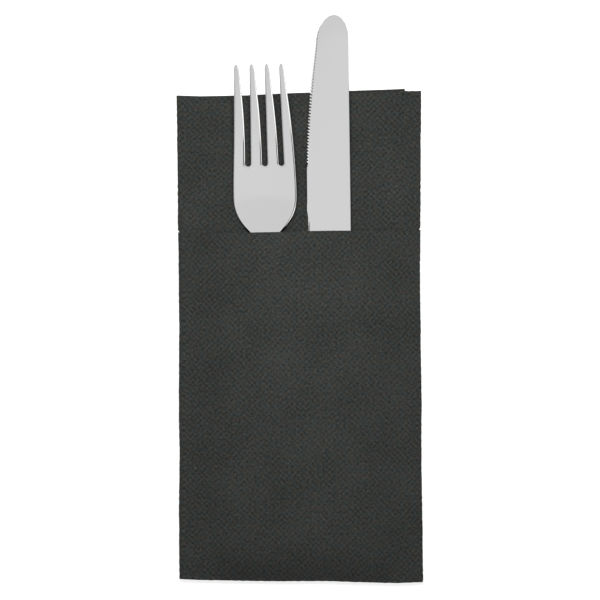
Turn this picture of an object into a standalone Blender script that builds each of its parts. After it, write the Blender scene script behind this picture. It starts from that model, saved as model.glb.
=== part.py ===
"""Cutlery pouch napkin: one folded sheet of airlaid paper with a fork and a table knife in its pocket.

The pouch lies on its back with its mouth towards +Y. The origin is in the middle of its back face.
A wide sheet has its lower part turned up to the front, which makes two layers with a pocket between
them, and is then folded in half twice. The top panel's pocket holds the cutlery.
"""

import math

import bpy
from mathutils import Matrix, Vector

MM = 0.001

# Folded sheet
POUCH_WIDTH = 100.0 * MM
BACK_HEIGHT = 200.0 * MM
FLAP_HEIGHT = 143.6 * MM
PAPER = 0.40 * MM
LAYER_GAP = 0.18 * MM
HEM_SETBACK = 6.6 * MM
FOLD_SETBACK = 0.15 * MM
HEM_RISE = 1.0 * MM
SETTLE_START = 0.6 * MM
SETTLE_LENGTH = 25.0 * MM
HEM_DROOP = 0.9 * MM

# How the sheet lies a little out of square
LEAN = 0.9 * MM
WAIST = 0.45 * MM
WAIST_PLACE = 0.6
WAIST_SPREAD = 0.3
TOP_TILT = 2.0 * MM
BOTTOM_TILT = -1.5 * MM

# Pocket
CUTLERY_GAP = 4.2 * MM
CUTLERY_OFFSET = -3.2 * MM
END_GAP = 9.0 * MM
REST_GAP = 0.3 * MM
FLAP_CLEARANCE = 0.5 * MM
PLATEAU_MARGIN = 2.0 * MM
POCKET_WEDGE = 17.0 * MM

# Fork
FORK_LENGTH = 201.8 * MM
FORK_HEAD_WIDTH = 26.0 * MM
FORK_TIP_WIDTH = 20.2 * MM
FORK_NECK_WIDTH = 6.2 * MM
FORK_HANDLE_WIDTH = 18.0 * MM
FORK_HEAD_THICKNESS = 2.2 * MM
FORK_TIP_THICKNESS = 1.4 * MM
FORK_NECK_THICKNESS = 3.0 * MM
FORK_HANDLE_THICKNESS = 2.4 * MM
FORK_EDGE = 0.35 * MM
FORK_END_RADIUS = 8.0 * MM
BELLY_TO_TIP = 50.6 * MM
TINE_LENGTH = 40.8 * MM
SLOT_WIDTH = 2.5 * MM
SLOT_SPREAD = 2.3 * MM
SLOT_FLARE = 1.9
HEAD_TAPER = 1.3
TINE_POINT = 2.2 * MM
TINE_POINT_WIDTH = 0.7 * MM
SHOULDER_START = 2.0 * MM
SHOULDER_LENGTH = 23.0 * MM
SHOULDER_HANDLE = 12.5 * MM
NECK_HANDLE = 8.5 * MM
TIP_RISE = 14.2 * MM
NECK_ARCH = 3.4 * MM
ARCH_SKEW = 0.7
PALM_DISH = 1.8 * MM
PALM_CENTRE = 4.0 * MM
PALM_SPREAD = 20.0 * MM
FORK_ROLL = math.radians(8.7)
FORK_YAW = math.radians(1.0)

# Knife
KNIFE_LENGTH = 222.9 * MM
BLADE_LENGTH = 93.0 * MM
BLADE_WIDTH = 17.9 * MM
BLADE_THICKNESS = 1.8 * MM
EDGE_THICKNESS = 0.5 * MM
BLADE_TIP_DEPTH = 10.0 * MM
BLADE_TIP_OFFSET = 3.1 * MM
BLADE_TIP_CUT = 5.9 * MM
BLADE_BELLY = 68.0 * MM
BLADE_CURVE = 1.85
SERRATION_START = 6.0 * MM
SERRATION_LENGTH = 55.5 * MM
TOOTH_PITCH = 1.28 * MM
TOOTH_DEPTH = 0.42 * MM
HEEL_LENGTH = 2.5 * MM
BOLSTER_WIDTH = 14.0 * MM
BOLSTER_THICKNESS = 5.2 * MM
KNIFE_HANDLE_WIDTH = 15.5 * MM
KNIFE_HANDLE_THICKNESS = 5.6 * MM
KNIFE_END_RADIUS = 7.0 * MM
KNIFE_LEAN = math.radians(0.7)
BLADE_SQUARENESS = 4.0
HANDLE_SQUARENESS = 3.0

# How finely the shapes are divided
PANEL_STEPS = 2
FLAP_STEPS = 15
DROOP_STEPS = 3
OUTER_FOLD_STEPS = 8
INNER_FOLD_STEPS = 4
FLAP_ROWS = 7
WEDGE_ROWS = 5
TURN_ROWS = 4
BACK_ROWS = 5
SETTLE_ROWS = 6
TOP_ROWS = 2
TINE_STEPS = 2
SLOT_STEPS = 4
KNIFE_SIDES = 12

PITCH = PAPER + LAYER_GAP
BOTTOM = -BACK_HEIGHT / 2
TOP = BACK_HEIGHT / 2
MOUTH = BOTTOM + FLAP_HEIGHT
TURN_LINE = BOTTOM + (PITCH + PAPER) / 2
POCKET_FLOOR = 6 * PITCH + PAPER
HEM = POUCH_WIDTH / 2 - HEM_SETBACK
PAPER_SIDE = (POUCH_WIDTH - PAPER) / 2
LEFT_FOLD_LINE = -PAPER_SIDE + 3.5 * PITCH
RIGHT_FOLD_LINE = PAPER_SIDE - 1.5 * PITCH

# Sheet stations, from hem to hem across the folded sheet
FIRST_PANEL, OUTER_FOLD, FRONT_PANEL, RIGHT_FOLD, THIRD_PANEL, INNER_FOLD, LAST_PANEL = range(7)
# Sheet rows, from the pocket's mouth down the front layer and up the back layer
FLAP, TURN, BACK = range(3)


def clamp(value):
    """The value held between 0 and 1."""
    return min(max(value, 0.0), 1.0)


def ease(value):
    """A curve from 0 to 1 that is level at both ends."""
    t = clamp(value)
    return t * t * (3 - 2 * t)


def mix(a, b, share):
    """The value that lies a share of the way from a to b."""
    return a + (b - a) * share


def steel():
    """Polished stainless steel, shared by the fork and the knife."""
    material = bpy.data.materials.new("polished_stainless_steel")
    material.use_nodes = True
    shader = material.node_tree.nodes["Principled BSDF"]
    shader.inputs["Base Color"].default_value = (0.63, 0.63, 0.64, 1)
    shader.inputs["Metallic"].default_value = 1.0
    shader.inputs["Roughness"].default_value = 0.15
    return material


def airlaid_paper():
    """Charcoal airlaid paper, dull and soft."""
    material = bpy.data.materials.new("charcoal_airlaid_paper")
    material.use_nodes = True
    shader = material.node_tree.nodes["Principled BSDF"]
    shader.inputs["Base Color"].default_value = (0.042, 0.043, 0.042, 1)
    shader.inputs["Metallic"].default_value = 0.0
    shader.inputs["Roughness"].default_value = 0.95
    return material


def add_object(name, vertices, faces, material):
    """A mesh object from its vertices and faces, shaded smooth with sharp edges kept."""
    mesh = bpy.data.meshes.new(name)
    mesh.from_pydata([tuple(v) for v in vertices], [], faces)
    mesh.materials.append(material)
    mesh.shade_smooth()
    mesh.set_sharp_from_angle(angle=math.radians(35))
    piece = bpy.data.objects.new(name, mesh)
    bpy.context.collection.objects.link(piece)
    return piece


class Bulge:
    """The swell of the front layer over the two handles."""

    def __init__(self, cutlery):
        """cutlery: the points of each piece that lies partly in the pocket."""
        self.pieces = []
        for points in cutlery:
            inside = [p for p in points if p.y < MOUTH + TOP_TILT]
            foot = min(p.y for p in inside)
            peak = max(inside, key=lambda p: p.z)
            foot_top = max(p.z for p in inside if p.y < foot + POCKET_WEDGE)
            room = FLAP_CLEARANCE - POCKET_FLOOR
            left = min(p.x for p in inside) - PLATEAU_MARGIN
            right = max(p.x for p in inside) + PLATEAU_MARGIN
            self.pieces.append((left, right, foot, foot_top + room, peak.y, peak.z + room))

    def height(self, x, y):
        """How far the front layer stands above its flat level at a place on the pouch."""
        total = 0.0
        for left, right, foot, foot_rise, peak, peak_rise in self.pieces:
            left_away = (left - x) / max(left - LEFT_FOLD_LINE, MM)
            right_away = (x - right) / max(RIGHT_FOLD_LINE - right, MM)
            away = max(left_away, right_away)
            along = ease((y - foot) / max(peak - foot, MM))
            total += (mix(foot_rise, peak_rise, along) * (1 - ease(away))) ** 4
        run = clamp((y - TURN_LINE) / POCKET_WEDGE)
        return total**0.25 * (1 - (1 - run) ** 2)


def settled(row, y):
    """How far the single back layers above the mouth have sunk together, from 0 to 1."""
    if row != BACK:
        return 0.0
    return ease((y - MOUTH - SETTLE_START) / SETTLE_LENGTH)


def section_point(station, share, outer, sink):
    """The place (x, z) of the front or the back layer in the pouch's cross-section.

    Levels and rings count in pitches: eight layers lie at levels 0 to 7 below the mouth, and the folds
    at the left turn round level 3.5 and at the right round level 5.5. Above the mouth the four layers
    of the back sink to levels 0 to 3.
    """
    left_level = mix(3.5, 1.5, sink)
    right_level = mix(5.5, 2.5, sink)
    outer_ring = 3.5 if outer else mix(2.5, 1.5, sink)
    inner_ring = 0.5 if outer else mix(1.5, 0.5, sink)
    right_ring = 1.5 if outer else 0.5
    left = mix(LEFT_FOLD_LINE, -PAPER_SIDE + 1.5 * PITCH + FOLD_SETBACK, sink)
    right = mix(RIGHT_FOLD_LINE, PAPER_SIDE - 0.5 * PITCH - FOLD_SETBACK, sink)
    angle = math.pi * share
    if station == FIRST_PANEL:
        x, level = mix(HEM, left, share), left_level - outer_ring
    elif station == OUTER_FOLD:
        x = left - outer_ring * PITCH * math.sin(angle)
        level = left_level - outer_ring * math.cos(angle)
    elif station == FRONT_PANEL:
        x, level = mix(left, right, share), left_level + outer_ring
    elif station == RIGHT_FOLD:
        x = right + right_ring * PITCH * math.sin(angle)
        level = right_level + right_ring * math.cos(angle)
    elif station == THIRD_PANEL:
        x, level = mix(right, left, share), left_level + inner_ring
    elif station == INNER_FOLD:
        x = left - inner_ring * PITCH * math.sin(angle)
        level = left_level + inner_ring * math.cos(angle)
    else:
        x, level = mix(left, HEM, share), left_level - inner_ring
    z = PAPER / 2 + level * PITCH
    if station in (FRONT_PANEL, RIGHT_FOLD, THIRD_PANEL):
        z -= HEM_DROOP * ease((x - HEM) / HEM_SETBACK)
    return x, z


def lie(x, y, z):
    """Moves a place on the square pouch to where the slightly skewed one has it."""
    up = (y - BOTTOM) / BACK_HEIGHT
    pull = math.exp(-(((up - WAIST_PLACE) / WAIST_SPREAD) ** 2))
    across = x / POUCH_WIDTH
    return Vector(
        (
            x - 2 * WAIST * across * pull - LEAN * (up - 0.5),
            y + across * mix(BOTTOM_TILT, TOP_TILT, up),
            z,
        )
    )


def sheet_point(s, r, bulge):
    """The middle of the paper at s, from 0 to 7 across, and r, from 0 to 3 down and up the sheet."""
    station = min(int(s), LAST_PANEL)
    row = min(int(r), BACK)
    across, along = s - station, r - row
    if row == TURN:
        front_x, front_z = section_point(station, across, True, 0.0)
        back_x, back_z = section_point(station, across, False, 0.0)
        angle = math.pi * along
        swing = (1 - math.cos(angle)) / 2
        y = TURN_LINE - PITCH / 2 * math.sin(angle)
        return lie(mix(front_x, back_x, swing), y, mix(front_z, back_z, swing))
    y = mix(MOUTH, TURN_LINE, along) if row == FLAP else mix(TURN_LINE, TOP, along)
    x, z = section_point(station, across, row == FLAP, settled(row, y))
    if row == FLAP and station == FRONT_PANEL:
        z += bulge.height(x, y)
    if row == BACK and station == FIRST_PANEL:
        y += HEM_RISE * (1 - across) * clamp((y - MOUTH) / (TOP - MOUTH))
    return lie(x, y, z)


def divide(start, end, steps):
    """Evenly spaced values from start up to, but not including, end."""
    return [mix(start, end, k / steps) for k in range(steps)]


def sheet_columns():
    """The stations across the sheet at which the mesh has points."""
    droop = (RIGHT_FOLD_LINE - HEM) / (RIGHT_FOLD_LINE - LEFT_FOLD_LINE)
    columns = divide(FIRST_PANEL, OUTER_FOLD, PANEL_STEPS)
    columns += divide(OUTER_FOLD, FRONT_PANEL, OUTER_FOLD_STEPS)
    columns += divide(FRONT_PANEL, RIGHT_FOLD - droop, FLAP_STEPS)
    columns += divide(RIGHT_FOLD - droop, RIGHT_FOLD, DROOP_STEPS)
    columns += divide(RIGHT_FOLD, THIRD_PANEL, INNER_FOLD_STEPS)
    columns += divide(THIRD_PANEL, THIRD_PANEL + droop, DROOP_STEPS)
    columns += divide(THIRD_PANEL + droop, INNER_FOLD, PANEL_STEPS)
    columns += divide(INNER_FOLD, LAST_PANEL, INNER_FOLD_STEPS)
    columns += divide(LAST_PANEL, LAST_PANEL + 1, PANEL_STEPS)
    return columns + [LAST_PANEL + 1.0]


def sheet_rows():
    """The rows down and up the sheet at which the mesh has points, closer together near the bottom."""
    wedge = TURN - POCKET_WEDGE / (MOUTH - TURN_LINE)
    flap = divide(FLAP, wedge, FLAP_ROWS) + divide(wedge, TURN, WEDGE_ROWS)
    turn = divide(TURN, TURN + 1, TURN_ROWS)
    tall = TOP - TURN_LINE
    mouth = BACK + (MOUTH + SETTLE_START - TURN_LINE) / tall
    calm = BACK + (MOUTH + SETTLE_START + SETTLE_LENGTH - TURN_LINE) / tall
    back = divide(BACK, mouth, BACK_ROWS) + divide(mouth, calm, SETTLE_ROWS)
    return flap + turn + back + divide(calm, BACK + 1.0, TOP_ROWS) + [BACK + 1.0]


def sheet_normal(s, r, bulge):
    """The direction square to the paper at a place on the sheet."""
    step = 1e-4
    s_low, s_high = max(s - step, 0.0), min(s + step, LAST_PANEL + 1.0)
    r_low, r_high = max(r - step, 0.0), min(r + step, BACK + 1.0)
    along_s = sheet_point(s_high, r, bulge) - sheet_point(s_low, r, bulge)
    along_r = sheet_point(s, r_high, bulge) - sheet_point(s, r_low, bulge)
    return along_r.cross(along_s).normalized()


def grid_faces(columns, rows, first, turned):
    """Triangles between a grid's points. Both sides of the paper are cut along the same diagonals."""
    faces = []
    for i in range(columns - 1):
        for j in range(rows - 1):
            a = first + i * rows + j
            for face in ((a, a + 1, a + rows + 1), (a, a + rows + 1, a + rows)):
                faces.append(face[::-1] if turned else face)
    return faces


def build_napkin(bulge):
    """The folded sheet, as one closed solid of even thickness."""
    columns, rows = sheet_columns(), sheet_rows()
    front, back = [], []
    for s in columns:
        for r in rows:
            middle = sheet_point(s, r, bulge)
            half = sheet_normal(s, r, bulge) * PAPER / 2
            front.append(middle + half)
            back.append(middle - half)
    m, n = len(columns), len(rows)
    faces = grid_faces(m, n, 0, False) + grid_faces(m, n, m * n, True)
    rim = [i * n for i in range(m)] + [(m - 1) * n + j for j in range(1, n)]
    rim += [i * n + n - 1 for i in range(m - 2, -1, -1)] + [j for j in range(n - 2, 0, -1)]
    for a, b in zip(rim, rim[1:] + rim[:1]):
        faces.append((a, b, b + m * n, a + m * n))
    return add_object("napkin", front + back, faces, airlaid_paper())


def fork_rise(y):
    """The height of the fork's middle line at y from its belly, tips at +Y."""
    if y > 0:
        return TIP_RISE * (y / BELLY_TO_TIP) ** 2
    back = clamp(-y / (FORK_LENGTH - BELLY_TO_TIP))
    return NECK_ARCH * math.sin(math.pi * back**ARCH_SKEW) ** 2


def fork_half_width(y):
    """Half the width over the tines at y beyond the fork's belly."""
    taper = (FORK_HEAD_WIDTH - FORK_TIP_WIDTH) / 2
    return FORK_HEAD_WIDTH / 2 - taper * clamp(y / BELLY_TO_TIP) ** HEAD_TAPER


def fork_thickness(y):
    """The thickness of the steel at y from the fork's belly."""
    if y > 0:
        return mix(FORK_HEAD_THICKNESS, FORK_TIP_THICKNESS, y / BELLY_TO_TIP)
    neck = -SHOULDER_START - SHOULDER_LENGTH
    if y > neck:
        return mix(FORK_HEAD_THICKNESS, FORK_NECK_THICKNESS, ease(y / neck))
    end = BELLY_TO_TIP - FORK_LENGTH
    return mix(FORK_NECK_THICKNESS, FORK_HANDLE_THICKNESS, ease((y - neck) / (end - neck)))


def fork_surface(x, y):
    """The height of the fork's middle surface, dished across the palm."""
    palm = math.exp(-(((y - PALM_CENTRE) / PALM_SPREAD) ** 2))
    return fork_rise(y) + PALM_DISH * palm * (2 * x / FORK_HEAD_WIDTH) ** 2


def fork_point(x, y, side):
    """A point on the fork's upper (side 1), lower (-1) or middle (0) surface."""
    step = 0.01 * MM
    slope_x = (fork_surface(x + step, y) - fork_surface(x - step, y)) / (2 * step)
    slope_y = (fork_surface(x, y + step) - fork_surface(x, y - step)) / (2 * step)
    normal = Vector((-slope_x, -slope_y, 1)).normalized()
    return Vector((x, y, fork_surface(x, y))) + normal * side * fork_thickness(y) / 2


def bezier(a, b, c, d, t):
    """A value along a cubic curve with the two ends a, d and the two handles b, c."""
    return a * (1 - t) ** 3 + 3 * b * t * (1 - t) ** 2 + 3 * c * t * t * (1 - t) + d * t**3


def fork_outline():
    """Rows (y, half width) from the handle's end to the last one before the slots."""
    end = BELLY_TO_TIP - FORK_LENGTH
    neck = -SHOULDER_START - SHOULDER_LENGTH
    half_neck, half_end = FORK_NECK_WIDTH / 2, FORK_HANDLE_WIDTH / 2
    rows = []
    for angle in (25, 45, 65, 90):
        turn = math.radians(angle)
        rows.append((end + FORK_END_RADIUS * (1 - math.cos(turn)), half_end * math.sin(turn)))
    handle_start, handle_rows = end + FORK_END_RADIUS, 6
    for k in range(1, handle_rows):
        share = k / handle_rows
        rows.append((mix(handle_start, neck, share), mix(half_end, half_neck, ease(share**0.8))))
    for k in range(8):
        t = k / 7
        y = bezier(0, -NECK_HANDLE, SHOULDER_HANDLE - SHOULDER_LENGTH, -SHOULDER_LENGTH, t)
        width = bezier(half_neck, half_neck, FORK_HEAD_WIDTH / 2, FORK_HEAD_WIDTH / 2, t)
        rows.append((neck - y, width))
    root = BELLY_TO_TIP - TINE_LENGTH
    rows.append((root / 2, fork_half_width(root / 2)))
    rows.append((root - SLOT_WIDTH / 4, fork_half_width(root)))
    return rows


def slot_width(y):
    """The gap between two tines at y from the belly, wider towards the tips."""
    root = BELLY_TO_TIP - TINE_LENGTH + SLOT_WIDTH
    return SLOT_WIDTH + SLOT_SPREAD * clamp((y - root) / (BELLY_TO_TIP - root)) ** SLOT_FLARE


def tine_sides(half, gap):
    """The left and right side of each of the four tines."""
    wide = (2 * half - 3 * gap) / 4
    return [(-half + k * (wide + gap), -half + k * (wide + gap) + wide) for k in range(4)]


def fork_columns(half, gap):
    """The points across the whole head: tines and slots, from left to right."""
    sides = tine_sides(half, gap)
    across = []
    for k, (left, right) in enumerate(sides):
        across += divide(left, right, TINE_STEPS)
        if k < 3:
            across += divide(right, sides[k + 1][0], SLOT_STEPS)
    return across + [sides[3][1]]


def root_row(inset):
    """The row (x, y) of points that runs round the roots of the slots."""
    centre = BELLY_TO_TIP - TINE_LENGTH + SLOT_WIDTH / 2
    gap = SLOT_WIDTH + 2 * inset
    sides = tine_sides(fork_half_width(centre) - inset, gap)
    row = []
    for k, (left, right) in enumerate(sides):
        row += [(x, centre) for x in divide(left, right, TINE_STEPS)]
        if k < 3:
            middle = right + gap / 2
            for step in range(SLOT_STEPS):
                angle = math.pi * step / SLOT_STEPS
                row.append((middle - gap / 2 * math.cos(angle), centre - gap / 2 * math.sin(angle)))
    return row + [(sides[3][1], centre)]


def tine_rows(inset):
    """For each row out to the tips, y and the sides of the four tines."""
    start = BELLY_TO_TIP - TINE_LENGTH + SLOT_WIDTH / 2
    shoulder = BELLY_TO_TIP - TINE_POINT
    rows = []
    for k in range(1, 7):
        y = mix(start, shoulder, k / 6)
        rows.append((y, tine_sides(fork_half_width(y) - inset, slot_width(y) + 2 * inset)))
    for share in (0.6, 1.0):
        y = shoulder + share * (TINE_POINT - inset)
        sides = []
        for left, right in rows[5][1]:
            middle, half = (left + right) / 2, (right - left) / 2
            tip = TINE_POINT_WIDTH / 2 - inset / 2
            half = mix(half, tip, share**2)
            sides.append((middle - half, middle + half))
        rows.append((y, sides))
    return rows


class ForkMesh:
    """Collects the fork's points and faces."""

    def __init__(self):
        self.points, self.faces = [], []

    def row(self, places, side):
        """Adds a row of points on one surface and gives their numbers."""
        first = len(self.points)
        self.points += [fork_point(x, y, side) for x, y in places]
        return list(range(first, len(self.points)))

    def strip(self, a, b, turned=False):
        """Quads between two rows of points, facing up, or down if turned."""
        for k in range(len(a) - 1):
            quad = (a[k], a[k + 1], b[k + 1], b[k])
            self.faces.append(quad[::-1] if turned else quad)

    def wall(self, upper, middle, lower):
        """The edge of the steel between the upper, middle and lower outline."""
        self.strip(middle, upper)
        self.strip(lower, middle)


def fork_layer(mesh, side):
    """Adds one surface of the fork. Gives its palm rows, and its tine rows for each tine."""
    inset = FORK_EDGE if side else 0.0
    palm = []
    scale_half, scale_gap = fork_half_width(0), SLOT_WIDTH
    for k, (y, half) in enumerate(fork_outline()):
        share = (half - inset) / scale_half
        across = fork_columns(scale_half, scale_gap)
        palm.append(mesh.row([(x * share, y + (inset if k == 0 else 0.0)) for x in across], side))
    palm.append(mesh.row(root_row(inset), side))
    tines = [[] for _ in range(4)]
    for y, sides in tine_rows(inset):
        for k, (left, right) in enumerate(sides):
            across = divide(left, right, TINE_STEPS) + [right]
            tines[k].append(mesh.row([(x, y) for x in across], side))
    return palm, tines


def build_fork():
    """The four-tined fork, in its own frame with its belly at the origin."""
    mesh = ForkMesh()
    layers = {side: fork_layer(mesh, side) for side in (1, 0, -1)}
    pace = TINE_STEPS + SLOT_STEPS
    for side in (1, -1):
        palm, tines = layers[side]
        for a, b in zip(palm, palm[1:]):
            mesh.strip(a, b, side < 0)
        for k, rows in enumerate(tines):
            foot = palm[-1][k * pace : k * pace + TINE_STEPS + 1]
            for a, b in zip([foot] + rows, rows):
                mesh.strip(a, b, side < 0)
    outlines = {}
    for side, (palm, tines) in layers.items():
        loop = [row[-1] for row in palm]
        for k in range(3, -1, -1):
            foot = palm[-1][k * pace : k * pace + TINE_STEPS + 1]
            rows = tines[k]
            loop += [row[-1] for row in rows] + rows[-1][-2:0:-1] + [row[0] for row in rows[::-1]]
            loop.append(foot[0])
            if k:
                loop += palm[-1][k * pace - 1 : k * pace - SLOT_STEPS - 1 : -1]
        loop += [row[0] for row in palm[-2::-1]] + palm[0][1:-1]
        outlines[side] = loop + loop[:1]
    mesh.wall(outlines[1], outlines[0], outlines[-1])
    used = sorted({v for face in mesh.faces for v in face})
    number = {v: k for k, v in enumerate(used)}
    points = [mesh.points[v] for v in used]
    return points, [tuple(number[v] for v in face) for face in mesh.faces]


def blade_sides(d):
    """The cutting edge and the spine at a distance d from the knife's tip."""
    half = BLADE_WIDTH / 2
    cut = half - BLADE_TIP_CUT * clamp(1 - d / BLADE_BELLY) ** BLADE_CURVE
    reach = math.sqrt(1 - clamp(1 - d / BLADE_TIP_DEPTH) ** 2)
    left = BLADE_TIP_OFFSET - (BLADE_TIP_OFFSET + cut) * reach
    right = BLADE_TIP_OFFSET + (half - BLADE_TIP_OFFSET) * reach
    return left, right


def knife_stations():
    """Places along the knife, each with what knife_section needs.

    They hold the distance from the tip, the left and right side, the thickness, the squareness, the
    share of the thickness that is left at the cutting edge, and the depth of a notch in that edge.
    """
    stations = []
    thin, edge = BLADE_THICKNESS, EDGE_THICKNESS / BLADE_THICKNESS
    for share in (0.004, 0.03, 0.09, 0.2, 0.38):
        d = BLADE_TIP_DEPTH * share
        stations.append((d, *blade_sides(d), thin * mix(0.55, 1.0, share), BLADE_SQUARENESS, edge, 0.0))
    teeth = round(SERRATION_LENGTH / TOOTH_PITCH)
    for k in range(2 * teeth + 1):
        d = SERRATION_START + k * TOOTH_PITCH / 2
        notch = TOOTH_DEPTH if k % 2 else 0.0
        stations.append((d, *blade_sides(d), thin, BLADE_SQUARENESS, edge, notch))
    serrated = SERRATION_START + teeth * TOOTH_PITCH
    for k in range(1, 5):
        d = mix(serrated, BLADE_LENGTH - HEEL_LENGTH, k / 4)
        stations.append((d, *blade_sides(d), thin, BLADE_SQUARENESS, edge, 0.0))
    return stations + handle_stations()


def handle_stations():
    """The bolster and handle behind the blade."""
    stations = []
    start, end = BLADE_LENGTH, KNIFE_LENGTH - KNIFE_END_RADIUS
    for k in range(9):
        share = k / 8
        d = mix(start, end, share)
        half = mix(BOLSTER_WIDTH, KNIFE_HANDLE_WIDTH, ease(share)) / 2
        thick = mix(BOLSTER_THICKNESS, KNIFE_HANDLE_THICKNESS, ease(share))
        if k == 0:
            thick = mix(BLADE_THICKNESS, BOLSTER_THICKNESS, 0.6)
        stations.append((d, -half, half, thick, HANDLE_SQUARENESS, 1.0, 0.0))
    for angle in (35, 60, 80):
        turn = math.radians(angle)
        half = KNIFE_HANDLE_WIDTH / 2 * math.cos(turn)
        thick = KNIFE_HANDLE_THICKNESS * mix(0.45, 1.0, math.cos(turn))
        d = end + KNIFE_END_RADIUS * math.sin(turn)
        stations.append((d, -half, half, thick, HANDLE_SQUARENESS, 1.0, 0.0))
    return stations


def knife_section(left, right, thick, square, edge, notch):
    """The points (x, z) round the knife at one station, from the spine over the top to the edge."""
    middle, half = (left + right) / 2, (right - left) / 2
    points = []
    for k in range(KNIFE_SIDES):
        angle = 2 * math.pi * k / KNIFE_SIDES
        c, s = math.cos(angle), math.sin(angle)
        x = math.copysign(abs(c) ** (2 / square), c)
        z = math.copysign(abs(s) ** (2 / square), s)
        taper = mix(edge, 1.0, clamp((x + 1) / 1.2))
        bite = notch if k == KNIFE_SIDES // 2 else 0.0
        points.append((middle + half * x + bite, z * thick / 2 * taper))
    return points


def build_knife():
    """The one-piece table knife, in its own frame with the handle's end at the origin."""
    vertices, faces = [], []
    stations = knife_stations()
    for d, *section in stations:
        vertices += [Vector((x, KNIFE_LENGTH - d, z)) for x, z in knife_section(*section)]
    n = KNIFE_SIDES
    for i in range(len(stations) - 1):
        for k in range(n):
            a, b = i * n + k, i * n + (k + 1) % n
            faces.append((a, b, b + n, a + n))
    last = (len(stations) - 1) * n
    faces.append(tuple(range(n - 1, -1, -1)))
    faces.append(tuple(range(last, last + n)))
    return vertices, faces


def seat(points, turn, x, y):
    """Turns a piece of cutlery and lays it on the pocket's floor. Gives the new points."""
    turned = [turn @ p for p in points]
    lowest = min(p.z for p in turned)
    return [p + Vector((x, y, POCKET_FLOOR + REST_GAP - lowest)) for p in turned]


def main():
    for old in list(bpy.data.objects):
        bpy.data.objects.remove(old, do_unlink=True)
    pair = FORK_HEAD_WIDTH + CUTLERY_GAP + BLADE_WIDTH
    fork_x = CUTLERY_OFFSET - pair / 2 + FORK_HEAD_WIDTH / 2
    knife_x = CUTLERY_OFFSET + pair / 2 - BLADE_WIDTH / 2
    fork_points, fork_faces = build_fork()
    turn = Matrix.Rotation(FORK_YAW, 3, "Z") @ Matrix.Rotation(-FORK_ROLL, 3, "Y")
    fork_y = BOTTOM + END_GAP + FORK_LENGTH - BELLY_TO_TIP
    fork_points = seat(fork_points, turn, fork_x, fork_y)
    knife_points, knife_faces = build_knife()
    turn = Matrix.Rotation(KNIFE_LEAN, 3, "Z")
    knife_foot = knife_x + (KNIFE_LENGTH - BLADE_BELLY) * math.sin(KNIFE_LEAN)
    knife_points = seat(knife_points, turn, knife_foot, BOTTOM + END_GAP)
    metal = steel()
    add_object("fork", fork_points, fork_faces, metal)
    add_object("knife", knife_points, knife_faces, metal)
    build_napkin(Bulge([fork_points, knife_points]))


main()
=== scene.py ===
"""Cutlery pouch napkin: the finished look of the folded napkin, its fork and its table knife.

Everything is in metres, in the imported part's own frame. The pouch lies on its back with its mouth
towards +Y, and the origin is in the middle of its back face.
"""

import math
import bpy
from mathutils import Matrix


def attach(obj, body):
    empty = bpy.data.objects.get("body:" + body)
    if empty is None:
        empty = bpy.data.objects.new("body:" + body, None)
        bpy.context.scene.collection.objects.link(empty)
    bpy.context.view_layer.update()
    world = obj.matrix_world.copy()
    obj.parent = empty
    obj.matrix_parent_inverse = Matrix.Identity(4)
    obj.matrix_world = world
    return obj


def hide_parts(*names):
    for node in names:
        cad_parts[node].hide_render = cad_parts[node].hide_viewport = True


bl_info = {
    "name": "Cutlery Pouch Napkin",
    "version": (1, 0, 0),
    "blender": (4, 5, 0),
    "location": "View3D > Sidebar > Pouch",
    "description": "Makes a folded paper pouch with a fork and a table knife in it, and their studio",
    "category": "Add Mesh",
}

import bpy
import numpy as np
from bpy.props import FloatProperty, FloatVectorProperty, PointerProperty
from mathutils import Matrix, Vector

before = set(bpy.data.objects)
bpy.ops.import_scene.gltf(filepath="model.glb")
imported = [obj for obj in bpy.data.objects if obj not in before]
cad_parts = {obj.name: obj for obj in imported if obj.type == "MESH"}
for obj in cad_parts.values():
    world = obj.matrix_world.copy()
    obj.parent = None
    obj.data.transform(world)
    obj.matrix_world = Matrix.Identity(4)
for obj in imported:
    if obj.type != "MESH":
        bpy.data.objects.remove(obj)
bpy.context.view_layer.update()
MM = 0.001

# Sheet stations, from hem to hem across the folded sheet
FIRST_PANEL, OUTER_FOLD, FRONT_PANEL, RIGHT_FOLD, THIRD_PANEL, INNER_FOLD, LAST_PANEL = range(7)
# Sheet rows, from the pocket's mouth down the front layer and up the back layer
FLAP, TURN, BACK = range(3)

# Folded sheet, beside the sizes in its settings
HEM_SETBACK = 6.6 * MM
HEM_RISE = 1.0 * MM
HEM_DROOP = 0.9 * MM
SETTLE_START = 0.6 * MM
SETTLE_LENGTH = 25.0 * MM
LEAN = 0.9 * MM
WAIST = 0.45 * MM
WAIST_PLACE = 0.6
WAIST_SPREAD = 0.3
TOP_TILT = 2.0 * MM
BOTTOM_TILT = -1.5 * MM
FLAP_CLEARANCE = 0.5 * MM
PLATEAU_MARGIN = 2.0 * MM
POCKET_WEDGE = 17.0 * MM

# How the real sheet departs from the plain one: slack in the front, and edges that wander
SLACK = 0.35 * MM
SLACK_WAVE = 26.0 * MM
SLACK_EDGE = 14.0 * MM
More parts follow.
